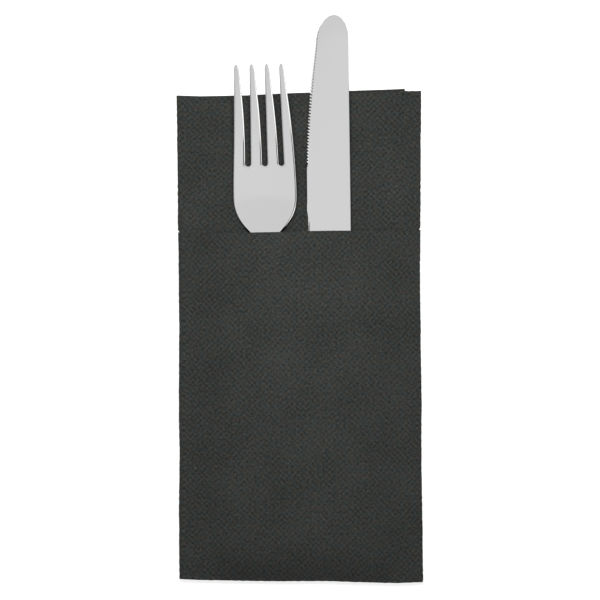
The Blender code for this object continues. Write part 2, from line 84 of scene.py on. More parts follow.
# How far each edge of the pouch runs out of line, in mm outwards, at even steps from the bottom or left
LEFT_WANDER = (-0.1, 0.0, -0.25, 0.05, -0.05, 0.05, 0.2, 0.15, 0.25)
RIGHT_WANDER = (0.35, 0.2, 0.0, 0.3, 0.2, 0.1, 0.3, 0.4, 0.55)
BOTTOM_WANDER = (0.5, 0.75, 0.75, 0.8, 0.55, 0.4, 0.65, 0.75, 0.35)
TOP_WANDER = (-0.1, -0.6, -0.7, -0.55, -0.3, -0.2, -0.2, 0.0, -0.1)
RAGGED = 0.09 * MM
MOUTH_RAGGED = 0.015 * MM
RAGGED_WAVE = 2.6 * MM
RAGGED_START = 0.45
RAGGED_RUN = 0.04
SPREAD_LENGTH = 1.2 * MM
WAVES = 7
SLACK_SEED = 11
SIDE_SEED = 4
END_SEED = 5
FRAY_SEED = 21

# Where the cutlery lies
CUTLERY_GAP = 3.8 * MM
CUTLERY_OFFSET = -3.2 * MM
END_GAP = 9.0 * MM
REST_GAP = 0.3 * MM
FORK_ROLL = math.radians(8.7)
FORK_YAW = math.radians(1.0)
KNIFE_LEAN = math.radians(0.7)

# Fork, beside the sizes in its settings
FORK_TIP_WIDTH = 20.2 * MM
FORK_NECK_WIDTH = 6.2 * MM
FORK_HANDLE_WIDTH = 18.0 * MM
FORK_HEAD_THICKNESS = 2.2 * MM
FORK_TIP_THICKNESS = 1.4 * MM
FORK_NECK_THICKNESS = 3.0 * MM
FORK_HANDLE_THICKNESS = 2.4 * MM
FORK_EDGE = 1.1 * MM
EDGE_SHARE = 0.36
EDGE_WALL = 0.45
EDGE_UNDERCUT = 0.32
FORK_END_RADIUS = 8.0 * MM
HANDLE_SWELL = 0.8
BELLY_TO_TIP = 51.0 * MM
SLOT_WIDTH = 2.17 * MM
SLOT_SPREAD = 2.3 * MM
SLOT_FLARE = 1.9
HEAD_TAPER = 1.3
TINE_POINT = 2.8 * MM
TINE_TIP_EDGE = 0.35 * MM
TINE_EDGE_FADE = 6
TINE_LEAN = (0.15 * MM, 0.54 * MM)
TINE_LEAN_START = 6.0 * MM
SHOULDER_START = 3.0 * MM
SHOULDER_LENGTH = 23.0 * MM
SHOULDER_HANDLE = 12.5 * MM
NECK_HANDLE = 8.5 * MM
TIP_RISE = 14.2 * MM
NECK_ARCH = 3.4 * MM
ARCH_SKEW = 0.7
ARCH_START = 6.0 * MM
PALM_DISH = 0.7 * MM
PALM_CENTRE = 4.0 * MM
PALM_SPREAD = 20.0 * MM

# Knife, beside the sizes in its settings
BLADE_THICKNESS = 1.8 * MM
BLADE_FULL = 0.6
BLADE_TIP_THIN = 0.7
EDGE_THICKNESS = 0.5 * MM
BLADE_TIP_DEPTH = 10.0 * MM
BLADE_TIP_OFFSET = 3.1 * MM
BLADE_TIP_CUT = 5.9 * MM
BLADE_BELLY = 68.0 * MM
BLADE_CURVE = 1.85
SERRATION_START = 6.0 * MM
SERRATION_LENGTH = 55.5 * MM
TOOTH_PITCH = 1.28 * MM
TOOTH_DEPTH = 0.85 * MM
TOOTH_LEAN = 0.125
TOOTH_OUT = 0.4
TOOTH_GROW = 8.0 * MM
TOOTH_FADE_START = 30.0 * MM
TOOTH_FADE_LENGTH = 30.0 * MM
TOOTH_LAST = 0.45
HEEL_SHOW = 9.3 * MM
HEEL_TURN = 2.8 * MM
HEEL_LEDGE = 0.35 * MM
HEEL_SLOPE = math.tan(math.radians(60))
HEEL_STEP = 0.35 * MM
HEEL_STEP_LENGTH = 4.0 * MM
SPINE_RADIUS = 0.22 * MM
CHAMFER = 0.08 * MM
EDGE_FLAT = 0.01 * MM
EDGE_BAND = 1.3 * MM
TOOTH_FLAT = 0.12 * MM
BEVEL_SLOPE = math.tan(math.radians(25))
GULLET_ANGLES = (math.radians(84), math.radians(45))
GULLET_BITES = (0.3, 0.7)
BOLSTER_BLEND = 4.0 * MM
BOLSTER_WIDTH = 14.0 * MM
BOLSTER_THICKNESS = 5.2 * MM
KNIFE_HANDLE_WIDTH = 15.5 * MM
KNIFE_HANDLE_THICKNESS = 5.6 * MM
KNIFE_END_RADIUS = 7.0 * MM
KNIFE_END_THIN = 0.45

# How finely the shapes are divided
FRONT_STEPS = 100
HIDDEN_STEPS = 10
DROOP_STEPS = 5
OUTER_FOLD_STEPS = 12
INNER_FOLD_STEPS = 10
FLAP_ROWS = 130
TURN_ROWS = 10
BACK_ROWS = 40
SETTLE_ROWS = 44
TOP_ROWS = 34
END_ROWS = 12
HANDLE_ROWS = 36
SHOULDER_ROWS = 30
HEAD_ROWS = 12
ROOT_SHARES = (0.3, 0.55, 0.8, 1.0)
TINE_ROWS = 36
TIP_ROWS = 8
TIP_ROW_TURN = math.radians(10.5)
TINE_STEPS = 6
SLOT_STEPS = 12
EDGE_RINGS = 7
BAND_STEPS = 10
BLADE_STEPS = 26
TOOTH_STATIONS = 8
TIP_STATIONS = 17
TIP_STATION_TURN = math.radians(3.75)
PLAIN_STATIONS = 14
HEEL_STATIONS = 48
GRIP_STATIONS = 30
END_STATIONS = 14
END_STATION_TURN = math.radians(6)
SHARP = math.radians(35)
FINE_SHARP = math.radians(17)

# Where each point of the paper lay when the sheet was flat, as its mesh holds it
FLAT_PLACE = "flat_place"
# The paper's patterns: the size of their spots, how far the dots stray, and how much fluff and cloud count
FIBRE_SIZE = 1.1 * MM
CLOUD_SIZE = 16.0 * MM
STRETCH_SIZE = 5.0 * MM
STRETCH = 0.9 * MM
PATCH_SIZE = 2.6 * MM
FLECK_SIZE = 0.8 * MM
FLUFF_SHARE = 0.68
CLOUD_SHARE = 0.35
# The wheels' strokes and grit marks in the steel: their size across, along and through a piece
WHEEL_STROKE = (0.45 * MM, 22.0 * MM, 0.9 * MM)
GRIT_MARK = (0.9 * MM, 0.12 * MM, 1.0 * MM)

# How bright the board under the pouch shows by itself, beside the light that falls on it
BOARD_GLOW = 0.82
BOARD_SIZE = 30.0
BOARD_DROP = 0.1 * MM
# The sky in the steel: its brightness at angles in degrees from straight above, how it dims towards
# +Y, and the gap in the white tent that the photographer looks through, as headings x and y
SKY = ((97, 0.04), (84, 0.12), (70, 0.5), (58, 0.88), (45, 0.95), (30, 0.98), (17, 1.0))
SKY_DIM_START = 0.03
SKY_DIM_END = 0.10
SKY_DIM = 0.94
GAP_PLACE = (0.30, -0.14, 0.0)
GAP_SIZE = (0.20, 0.22, 1.0)
GAP_EDGE = (0.8, 1.1)
GAP_LIGHT = 0.02
LAMP_PLACE = (0.0, 0.07, 0.36)
LAMP_TARGET = (0.0, 0.07, 0.0)
LAMP_SIZE = (0.12, 0.12)
CARD_PLACE = (0.80, -0.48, 0.58)
CARD_SIZE = (0.75, 0.8)


def srgb(code):
    """The linear colour of an sRGB hex value."""
    parts = [int(code[k : k + 2], 16) / 255 for k in (1, 3, 5)]
    return tuple(p / 12.92 if p <= 0.04045 else ((p + 0.055) / 1.055) ** 2.4 for p in parts)


def clamp(value):
    """The value, or each value of an array, held between 0 and 1."""
    return np.clip(value, 0.0, 1.0)


def ease(value):
    """A curve from 0 to 1 that is level at both ends."""
    t = clamp(value)
    return t * t * (3 - 2 * t)


def mix(a, b, share):
    """The value that lies a share of the way from a to b."""
    return a + (b - a) * share


def ripple(x, y, length, seed):
    """A smooth wandering value from about -1 to 1, with waves about this long."""
    rng = np.random.default_rng(seed)
    total = 0.0
    for _ in range(WAVES):
        heading = rng.uniform(0, math.pi)
        pace = 2 * math.pi / (length * rng.uniform(0.6, 1.6))
        phase = rng.uniform(0, 2 * math.pi)
        total = total + np.sin(pace * (x * math.cos(heading) + y * math.sin(heading)) + phase)
    return total / (WAVES / 2)


def wander(values, share):
    """How far an edge is out of line at a share of its length."""
    place = clamp(share) * (len(values) - 1)
    before = np.minimum(place.astype(int), len(values) - 2)
    values = np.array(values) * MM
    return mix(values[before], values[before + 1], ease(place - before))


def divide(start, end, steps):
    """Evenly spaced values from start up to, but not including, end."""
    return [mix(start, end, k / steps) for k in range(steps)]


class PouchPaperSettings(bpy.types.PropertyGroup):
    """The folded sheet: its sizes, its embossing and its colours."""

    width: FloatProperty(
        name="Width",
        description="Width of the folded pouch",
        default=100.0 * MM,
        min=60 * MM,
        unit="LENGTH",
    )
    height: FloatProperty(
        name="Height",
        description="Height of the folded pouch",
        default=200.0 * MM,
        min=120 * MM,
        unit="LENGTH",
    )
    pocket: FloatProperty(
        name="Pocket depth",
        description="From the bottom fold to the pocket's mouth",
        default=143.45 * MM,
        min=60 * MM,
        unit="LENGTH",
    )
    thickness: FloatProperty(
        name="Paper",
        description="Thickness of one layer",
        default=0.40 * MM,
        min=0.1 * MM,
        unit="LENGTH",
    )
    layer_gap: FloatProperty(
        name="Layer gap",
        description="Air between two layers that lie on each other",
        default=0.18 * MM,
        min=0.05 * MM,
        unit="LENGTH",
    )
    emboss_repeat: FloatProperty(
        name="Emboss repeat",
        description="Distance from one pressed dot to the next in its row",
        default=2.38 * MM,
        min=0.5 * MM,
        unit="LENGTH",
    )
    emboss_depth: FloatProperty(
        name="Emboss depth",
        description="Depth of the pressed dots",
        default=0.12 * MM,
        min=0.0,
        unit="LENGTH",
    )
    colour: FloatVectorProperty(
        name="Colour",
        description="Dyed paper on the raised parts",
        default=srgb("#484949"),
        size=3,
        subtype="COLOR",
    )
    # Darker end of the paper's tone: partly the pressed fibres' own deeper tone, partly painted shade in the
    # pressed hollows
    pressed_tone_and_shade: FloatVectorProperty(
        name="Pressed colour",
        description="Dyed paper in the pressed dots",
        default=srgb("#2B2D2C"),
        size=3,
        subtype="COLOR",
    )
    cool_tint: FloatVectorProperty(
        name="Cool tint",
        description="Cast of the dye in cool patches",
        default=srgb("#ECF9F8"),
        size=3,
        subtype="COLOR",
    )
    warm_tint: FloatVectorProperty(
        name="Warm tint",
        description="Cast of the dye in warm patches",
        default=srgb("#FFF7ED"),
        size=3,
        subtype="COLOR",
    )
    fleck_colour: FloatVectorProperty(
        name="Fleck colour",
        description="Fibres that took little dye",
        default=srgb("#74746F"),
        size=3,
        subtype="COLOR",
    )


class PouchForkSettings(bpy.types.PropertyGroup):
    """The fork's main sizes."""

    length: FloatProperty(
        name="Length",
        description="From the handle's end to the tips",
        default=202.2 * MM,
        min=120 * MM,
        unit="LENGTH",
    )
    head_width: FloatProperty(
        name="Head width",
        description="Width over the four tines",
        default=26.4 * MM,
        min=15 * MM,
        unit="LENGTH",
    )
    tine_length: FloatProperty(
        name="Tine length",
        description="From the slots' roots to the tips",
        default=41.2 * MM,
        min=20 * MM,
        unit="LENGTH",
    )
    colour: FloatVectorProperty(
        name="Steel colour",
        description="What the polished steel gives back of white light",
        default=srgb("#D1D1D1"),
        size=3,
        subtype="COLOR",
    )


class PouchKnifeSettings(bpy.types.PropertyGroup):
    """The knife's main sizes."""

    length: FloatProperty(
        name="Length",
        description="From the handle's end to the tip",
        default=222.9 * MM,
        min=150 * MM,
        unit="LENGTH",
    )
    blade_length: FloatProperty(
        name="Blade length",
        description="From the bolster to the tip",
        default=93.0 * MM,
        min=70 * MM,
        unit="LENGTH",
    )
    blade_width: FloatProperty(
        name="Blade width",
        description="From the cutting edge to the spine",
        default=17.9 * MM,
        min=10 * MM,
        unit="LENGTH",
    )
    colour: FloatVectorProperty(
        name="Steel colour",
        description="What the polished steel gives back of white light",
        default=srgb("#D1D1D1"),
        size=3,
        subtype="COLOR",
    )


class PouchStageSettings(bpy.types.PropertyGroup):
    """The camera, the light and the floor."""

    field: FloatProperty(
        name="Field", description="Side of the square that the camera sees", default=246.4 * MM, unit="LENGTH"
    )
    focus_height: FloatProperty(
        name="Field height",
        description="Height at which the field is that wide",
        default=4.5 * MM,
        unit="LENGTH",
    )
    middle_x: FloatProperty(
        name="Middle X", description="Where the picture's middle lies", default=0.16 * MM, unit="LENGTH"
    )
    middle_y: FloatProperty(
        name="Middle Y", description="Where the picture's middle lies", default=14.95 * MM, unit="LENGTH"
    )
    distance: FloatProperty(
        name="Distance", description="From the field up to the camera", default=2.0, unit="LENGTH"
    )
    room_light: FloatProperty(
        name="Room light", description="Strength of the soft light all round", default=0.15
    )
    lamp_power: FloatProperty(
        name="Lamp power", description="Power of the soft lamp above the mouth", default=1.18, unit="POWER"
    )
    card_power: FloatProperty(
        name="Card power",
        description="Power of the card that shows in the steel's edges",
        default=2.2,
        unit="POWER",
    )
    floor_colour: FloatVectorProperty(
        name="Floor colour",
        description="Matt board under the pouch",
        default=srgb("#C8C8C8"),
        size=3,
        subtype="COLOR",
    )


def add_node(tree, kind, settings=None, links=None):
    """Adds a node to a tree. settings holds its own values and its sockets', links what feeds its sockets."""
    node = tree.nodes.new(kind)
    for name, value in (settings or {}).items():
        if isinstance(name, int) or name in node.inputs:
            node.inputs[name].default_value = value
        else:
            setattr(node, name, value)
    for name, source in (links or {}).items():
        tree.links.new(source, node.inputs[name])
    return node


def new_material(name):
    """An empty material with its output and shader. Gives the material, its tree and the shader."""
    material = bpy.data.materials.new(name)
    material.use_nodes = True
    tree = material.node_tree
    return material, tree, tree.nodes["Principled BSDF"]


def pressed_dots(tree, laid, repeat):
    """Dots in a diamond all over the laid paper: 0 in the middle of a dot, 1 midway between four."""
    parts = add_node(tree, "ShaderNodeSeparateXYZ", links={"Vector": laid})
    pace = 2 * math.pi / repeat
    waves = []
    for axis in ("X", "Y"):
        turn = add_node(tree, "ShaderNodeMath", {"operation": "MULTIPLY", 1: pace}, {0: parts.outputs[axis]})
        waves.append(add_node(tree, "ShaderNodeMath", {"operation": "COSINE"}, {0: turn.outputs[0]}))
    diamond = add_node(
        tree, "ShaderNodeMath", {"operation": "MULTIPLY"}, {0: waves[0].outputs[0], 1: waves[1].outputs[0]}
    )
    dots = add_node(
        tree, "ShaderNodeMath", {"operation": "MULTIPLY_ADD", 1: 0.5, 2: 0.5}, {0: diamond.outputs[0]}
    )
    return dots.outputs[0]


def dyed_and_shaded_fibres(tree, paper, place, laid, shade):
    """The dye's colour, darker where the shade value is low: painted shade in the pressed dots on top of the
    fibres' own mottle, with warm and cool patches and a few pale flecks.
    """
    # Mixes the pressed and raised colours; the darker dots are partly the fibres' own tone and partly painted
    # shade in the hollows
    dyed = add_node(
        tree,
        "ShaderNodeMix",
        {"data_type": "RGBA", 6: (*paper.pressed_tone_and_shade, 1), 7: (*paper.colour, 1)},
        {0: shade},
    )
    # The dye takes a little warmer or cooler from one patch of fibres to the next
    patch = add_node(tree, "ShaderNodeTexNoise", {"Scale": 1 / PATCH_SIZE, "Detail": 2.0}, {"Vector": laid})
    warmth = add_node(
        tree, "ShaderNodeMapRange", {"From Min": 0.38, "From Max": 0.62}, {"Value": patch.outputs["Fac"]}
    )
    tint = add_node(
        tree,
        "ShaderNodeMix",
        {"data_type": "RGBA", 6: (*paper.cool_tint, 1), 7: (*paper.warm_tint, 1)},
        {0: warmth.outputs["Result"]},
    )
    tinted = add_node(
        tree,
        "ShaderNodeMix",
        {"data_type": "RGBA", "blend_type": "MULTIPLY", 0: 1.0},
        {6: dyed.outputs[2], 7: tint.outputs[2]},
    )
    knots = add_node(tree, "ShaderNodeTexNoise", {"Scale": 1 / FLECK_SIZE, "Detail": 1.0}, {"Vector": place})
    rare = add_node(
        tree,
        "ShaderNodeMapRange",
        {"From Min": 0.74, "From Max": 0.80, "To Max": 0.8},
        {"Value": knots.outputs["Fac"]},
    )
    flecked = add_node(
        tree,
        "ShaderNodeMix",
        {"data_type": "RGBA", 7: (*paper.fleck_colour, 1)},
        {0: rare.outputs["Result"], 6: tinted.outputs[2]},
    )
    return flecked.outputs[2]


def airlaid_paper(paper):
    """Airlaid paper: wood fluff laid down in air, bonded, dyed through and embossed between rollers.

    To the eye it is dull and soft, with fine pressed dots in a diamond, a mottle of fibres, a few fibres
    that took little dye, and a faint pale fuzz where it turns away.
    """
    material, tree, shader = new_material("charcoal_airlaid_paper")
    place = add_node(tree, "ShaderNodeAttribute", {"attribute_name": FLAT_PLACE}).outputs["Vector"]
    # Fibres of the fluff are 2 to 3 mm long and a few hundredths wide, drawn as coarse as shows
    fibre = add_node(
        tree,
        "ShaderNodeTexNoise",
        {"Scale": 1 / FIBRE_SIZE, "Detail": 4.0, "Roughness": 0.7},
        {"Vector": place},
    )
    cloud = add_node(tree, "ShaderNodeTexNoise", {"Scale": 1 / CLOUD_SIZE, "Detail": 2.0}, {"Vector": place})
    # The rollers' dots wander a little with the stretch of the paper
    stray = add_node(
        tree, "ShaderNodeTexNoise", {"Scale": 1 / STRETCH_SIZE, "Detail": 1.0}, {"Vector": place}
    )
    shift = add_node(
        tree,
        "ShaderNodeVectorMath",
        {"operation": "MULTIPLY_ADD", 1: (STRETCH,) * 3, 2: (-STRETCH / 2,) * 3},
        {0: stray.outputs["Color"]},
    )
    laid = add_node(tree, "ShaderNodeVectorMath", {"operation": "ADD"}, {0: place, 1: shift.outputs[0]})
    dots = pressed_dots(tree, laid.outputs[0], paper.emboss_repeat)
    fluff = add_node(
        tree, "ShaderNodeMapRange", {"From Min": 0.32, "From Max": 0.68}, {"Value": fibre.outputs["Fac"]}
    )
    height = add_node(
        tree, "ShaderNodeMix", {"data_type": "FLOAT", 0: FLUFF_SHARE}, {2: dots, 3: fluff.outputs["Result"]}
    ).outputs[0]
    tone = add_node(
        tree,
        "ShaderNodeMath",
        {"operation": "MULTIPLY_ADD", 1: CLOUD_SHARE},
        {0: cloud.outputs["Fac"], 2: height},
    )
    # Low where the dots are pressed and where fibres mottle; in the dots this darkening is partly painted
    # shade in the hollows
    shade = add_node(
        tree, "ShaderNodeMapRange", {"From Min": 0.35, "From Max": 1.0}, {"Value": tone.outputs[0]}
    )
    colour = dyed_and_shaded_fibres(tree, paper, place, laid.outputs[0], shade.outputs["Result"])
    bump = add_node(
        tree, "ShaderNodeBump", {"Strength": 1.0, "Distance": paper.emboss_depth}, {"Height": height}
    )
    tree.links.new(colour, shader.inputs["Base Color"])
    tree.links.new(bump.outputs["Normal"], shader.inputs["Normal"])
    shader.inputs["Roughness"].default_value = 0.95
    shader.inputs["Specular IOR Level"].default_value = 0.15
    shader.inputs["Sheen Weight"].default_value = 0.06
    shader.inputs["Sheen Roughness"].default_value = 0.5
    return material


def polished_steel(colour):
    """Stainless steel, 18 per cent chromium and 10 per cent nickel, stamped and polished on a wheel.

    To the eye it is a clear pale grey mirror, very slightly softened along the strokes of the wheel.
    """
    material, tree, shader = new_material("wheel_polished_stainless_steel")
    place = add_node(tree, "ShaderNodeTexCoord").outputs["Object"]
    # Strokes of the polishing wheel run along the piece, drawn about ten times as coarse as the real ones
    paces = tuple(1 / size for size in WHEEL_STROKE)
    strokes = add_node(tree, "ShaderNodeMapping", {"Scale": paces}, {"Vector": place})
    grain = add_node(
        tree,
        "ShaderNodeTexNoise",
        {"Scale": 1.0, "Detail": 3.0, "Roughness": 0.6},
        {"Vector": strokes.outputs[0]},
    ).outputs["Fac"]
    gloss = add_node(
        tree,
        "ShaderNodeMapRange",
        {"From Min": 0.3, "From Max": 0.7, "To Min": 0.05, "To Max": 0.10},
        {"Value": grain},
    )
    bump = add_node(tree, "ShaderNodeBump", {"Strength": 0.4, "Distance": 0.004 * MM}, {"Height": grain})
    shader.inputs["Base Color"].default_value = (*colour, 1)
    shader.inputs["Metallic"].default_value = 1.0
    tree.links.new(gloss.outputs["Result"], shader.inputs["Roughness"])
    tree.links.new(bump.outputs["Normal"], shader.inputs["Normal"])
    return material


def ground_steel_painted_highlight():
    """The same steel where a wheel has ground the teeth and nothing has polished it since.

    To the eye it is duller than the polished blade, without clear reflections. Its colour is painted brighter
    than the steel's own, a painted highlight on the teeth's facets.
    """
    material, tree, shader = new_material("ground_stainless_steel_painted_highlight")
    place = add_node(tree, "ShaderNodeTexCoord").outputs["Object"]
    # Grit marks run across the edge, drawn about twice as coarse as the real ones
    paces = tuple(1 / size for size in GRIT_MARK)
    marks = add_node(tree, "ShaderNodeMapping", {"Scale": paces}, {"Vector": place})
    grit = add_node(
        tree, "ShaderNodeTexNoise", {"Scale": 1.0, "Detail": 2.0}, {"Vector": marks.outputs[0]}
    ).outputs["Fac"]
    rough = add_node(
        tree,
        "ShaderNodeMapRange",
        {"From Min": 0.3, "From Max": 0.7, "To Min": 0.28, "To Max": 0.42},
        {"Value": grit},
    )
    bump = add_node(tree, "ShaderNodeBump", {"Strength": 0.3, "Distance": 0.005 * MM}, {"Height": grit})
    # Base colour painted brighter than the polished steel's, as a painted highlight on the ground facets
    shader.inputs["Base Color"].default_value = (*srgb("#F6F6F6"), 1)
    shader.inputs["Metallic"].default_value = 1.0
    tree.links.new(rough.outputs["Result"], shader.inputs["Roughness"])
    tree.links.new(bump.outputs["Normal"], shader.inputs["Normal"])
    return material


def matt_board(colour):
    """Pale matt board under the pouch: a plain dull white that keeps a soft shadow."""
    material, tree, shader = new_material("matt_white_board")
    shader.inputs["Base Color"].default_value = (*colour, 1)
    shader.inputs["Roughness"].default_value = 1.0
    shader.inputs["Specular IOR Level"].default_value = 0.0
    path = add_node(tree, "ShaderNodeLightPath")
    seen = path.outputs["Is Camera Ray"]
    for ray in ("Is Glossy Ray", "Is Transmission Ray"):
        either = add_node(tree, "ShaderNodeMath", {"operation": "MAXIMUM"}, {0: seen, 1: path.outputs[ray]})
        seen = either.outputs[0]
    glow = add_node(tree, "ShaderNodeMath", {"operation": "MULTIPLY", 1: BOARD_GLOW}, {0: seen})
    shader.inputs["Emission Color"].default_value = (1, 1, 1, 1)
    tree.links.new(glow.outputs[0], shader.inputs["Emission Strength"])
    return material


def add_piece(name, node, points, faces, materials, finish=None, sharp=SHARP):
    """A finished piece that stands for a node: a smooth mesh that rides on the part.

    finish holds the number of each face's material, where there is more than one.
    """
    mesh = bpy.data.meshes.new(name)
    mesh.from_pydata([tuple(p) for p in points], [], faces)
    for material in materials:
        mesh.materials.append(material)
    if finish:
        mesh.polygons.foreach_set("material_index", finish)
    mesh.shade_smooth()
    mesh.set_sharp_from_angle(angle=sharp)
    piece = bpy.data.objects.new(name, mesh)
    bpy.context.collection.objects.link(piece)
    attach(piece, "root")
    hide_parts(node)
    return piece


def node_points(name):
    """The corners of a node of the frame, as rows of x, y and z."""
    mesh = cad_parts[name].data
    points = np.zeros(len(mesh.vertices) * 3)
    mesh.vertices.foreach_get("co", points)
    return points.reshape(-1, 3)


class Fold:
    """The lines and levels of the folded sheet, worked out from the paper's settings."""

    def __init__(self, paper):
        self.paper = paper.thickness
        self.pitch = paper.thickness + paper.layer_gap
        self.width, self.height = paper.width, paper.height
        self.bottom, self.top = -paper.height / 2, paper.height / 2
        self.mouth = self.bottom + paper.pocket
        self.turn_line = self.bottom + (self.pitch + self.paper) / 2
        self.floor = 6 * self.pitch + self.paper
        self.hem = self.width / 2 - HEM_SETBACK
        self.side = (self.width - self.paper) / 2
        self.left = -self.side + 3.5 * self.pitch
        self.right = self.side - 1.5 * self.pitch

    def section(self, s, outer, sink, spread):
        """The place (x, z) of the front or the back layer in the pouch's cross-section.

        Levels and rings count in pitches: eight layers lie at levels 0 to 7 below the mouth, and the
        folds at the left turn round level 3.5 and at the right round level 5.5. Above the mouth the
        four layers of the back spread out to the full width and sink to levels 0 to 3.
        """
        station = np.minimum(s.astype(int), LAST_PANEL)
        share = s - station
        left_level, right_level = mix(3.5, 1.5, sink), mix(5.5, 2.5, sink)
        outer_ring = 3.5 if outer else mix(2.5, 1.5, sink)
        inner_ring = 0.5 if outer else mix(1.5, 0.5, sink)
        right_ring = 1.5 if outer else 0.5
        left = mix(self.left, -self.side + outer_ring * self.pitch, spread)
        right = mix(self.right, self.side - right_ring * self.pitch, spread)
        out, over = np.sin(np.pi * share), np.cos(np.pi * share)
        still = 0 * share
        at = [station == k for k in range(LAST_PANEL + 1)]
        x = np.select(
            at,
            [
                mix(self.hem, left, share),
                left - outer_ring * self.pitch * out,
                mix(left, right, share),
                right + right_ring * self.pitch * out,
                mix(right, left, share),
                left - inner_ring * self.pitch * out,
                mix(left, self.hem, share),
            ],
        )
        level = np.select(
            at,
            [
                left_level - outer_ring + still,
                left_level - outer_ring * over,
                left_level + outer_ring + still,
                right_level + right_ring * over,
                left_level + inner_ring + still,
                left_level + inner_ring * over,
                left_level - inner_ring + still,
            ],
        )
        upper = (station >= FRONT_PANEL) & (station <= THIRD_PANEL)
        z = self.paper / 2 + level * self.pitch
        return x, z - upper * HEM_DROOP * ease((x - self.hem) / HEM_SETBACK)

    def slack(self, x, y, flap):
        """How far the top layer stands up in soft waves, none at the folds or where it leaves the mouth."""
        sides = ease((x - self.left) / SLACK_EDGE) * ease((self.right - x) / SLACK_EDGE)
        start = np.where(flap, self.turn_line, self.mouth + SETTLE_START)
        ends = ease((y - start) / SLACK_EDGE)
        return SLACK * sides * ends * clamp(0.5 + 0.5 * ripple(x, y, SLACK_WAVE, SLACK_SEED))

    def middle(self, s, r, swell):
        """The middle of the paper at s, from 0 to 7 across, and r, from 0 to 3 down and up the sheet."""
        station = np.minimum(s.astype(int), LAST_PANEL)
        kind = np.minimum(r.astype(int), BACK)
        across, along = s - station, r - kind
        flap, turn, back = kind == FLAP, kind == TURN, kind == BACK
        y = np.select(
            [flap, turn],
            [
                mix(self.mouth, self.turn_line, along),
                self.turn_line - self.pitch / 2 * np.sin(np.pi * along),
            ],
            mix(self.turn_line, self.top, along),
        )
        swing = np.select([flap, turn], [0 * along, (1 - np.cos(np.pi * along)) / 2], 1.0)
        sink = back * ease((y - self.mouth - SETTLE_START) / SETTLE_LENGTH)
        spread = back * ease((y - self.mouth) / SPREAD_LENGTH)
        front_x, front_z = self.section(s, True, 0.0, 0.0)
        back_x, back_z = self.section(s, False, sink, spread)
        front_z = front_z + (flap & (station == FRONT_PANEL)) * swell.height(front_x, y)
        x, z = mix(front_x, back_x, swing), mix(front_z, back_z, swing)
        z = z + (station == FRONT_PANEL) * ~turn * self.slack(x, y, flap)
        first = back & (station == FIRST_PANEL)
        y = y + first * HEM_RISE * (1 - across) * clamp((y - self.mouth) / (self.top - self.mouth))
        return self.lie(x, y, z)

    def lie(self, x, y, z):
        """Moves places on the square pouch to where the slightly skewed and wandering one has them."""
        up = (y - self.bottom) / self.height
        pull = np.exp(-(((up - WAIST_PLACE) / WAIST_SPREAD) ** 2))
        across = x / self.width
        right_share, level = clamp(across + 0.5), clamp(up)
        near_side = ease((np.abs(across) - RAGGED_START) / RAGGED_RUN)
        near_end = ease((np.abs(up - 0.5) - RAGGED_START) / RAGGED_RUN)
        aside = wander(RIGHT_WANDER, up) * right_share - wander(LEFT_WANDER, up) * (1 - right_share)
        aside += RAGGED * ripple(y, 0 * y, RAGGED_WAVE, SIDE_SEED) * near_side
        ahead = wander(TOP_WANDER, across + 0.5) * level - wander(BOTTOM_WANDER, across + 0.5) * (1 - level)
        ahead += RAGGED * ripple(x, 0 * x, RAGGED_WAVE, END_SEED) * near_end
        new_x = x - 2 * WAIST * across * pull - LEAN * (up - 0.5) + aside
        new_y = y + across * mix(BOTTOM_TILT, TOP_TILT, up) + ahead
        return np.stack([new_x, new_y, z], axis=-1)


class Swell:
    """How far the front layer of the pocket stands up over the handles in it."""

    def __init__(self, fold, cutlery):
        self.fold = fold
        self.pieces = []
        for points in cutlery:
            inside = points[points[:, 1] < fold.mouth + TOP_TILT]
            foot = inside[:, 1].min()
            peak = inside[inside[:, 2].argmax()]
            foot_top = inside[inside[:, 1] < foot + POCKET_WEDGE, 2].max()
            room = FLAP_CLEARANCE - fold.floor
            left, right = inside[:, 0].min() - PLATEAU_MARGIN, inside[:, 0].max() + PLATEAU_MARGIN
            self.pieces.append((left, right, foot, foot_top + room, peak[1], peak[2] + room))

    def height(self, x, y):
        """How far the front layer stands above its flat level at places on the pouch."""
        total = 0.0
        for left, right, foot, foot_rise, peak, peak_rise in self.pieces:
            left_away = (left - x) / max(left - self.fold.left, MM)
            right_away = (x - right) / max(self.fold.right - right, MM)
            along = ease((y - foot) / max(peak - foot, MM))
            rise = mix(foot_rise, peak_rise, along) * (1 - ease(np.maximum(left_away, right_away)))
            # Fourth powers let the higher of two swells lead, and blend them softly where they meet
            total = total + rise**4
        run = clamp((y - self.fold.turn_line) / POCKET_WEDGE)
        return total**0.25 * (1 - (1 - run) ** 2)


def sheet_columns(fold):
    """The stations across the sheet at which the mesh has points, closest together on the front."""
    droop = (fold.right - fold.hem) / (fold.right - fold.left)
    columns = divide(FIRST_PANEL, OUTER_FOLD, HIDDEN_STEPS)
    columns += divide(OUTER_FOLD, FRONT_PANEL, OUTER_FOLD_STEPS)
    columns += divide(FRONT_PANEL, RIGHT_FOLD - droop, FRONT_STEPS)
    columns += divide(RIGHT_FOLD - droop, RIGHT_FOLD, DROOP_STEPS)
    columns += divide(RIGHT_FOLD, THIRD_PANEL, INNER_FOLD_STEPS)
    columns += divide(THIRD_PANEL, THIRD_PANEL + droop, DROOP_STEPS)
    columns += divide(THIRD_PANEL + droop, INNER_FOLD, HIDDEN_STEPS)
    columns += divide(INNER_FOLD, LAST_PANEL, INNER_FOLD_STEPS)
    columns += divide(LAST_PANEL, LAST_PANEL + 1, HIDDEN_STEPS)
    return np.array(columns + [LAST_PANEL + 1.0])


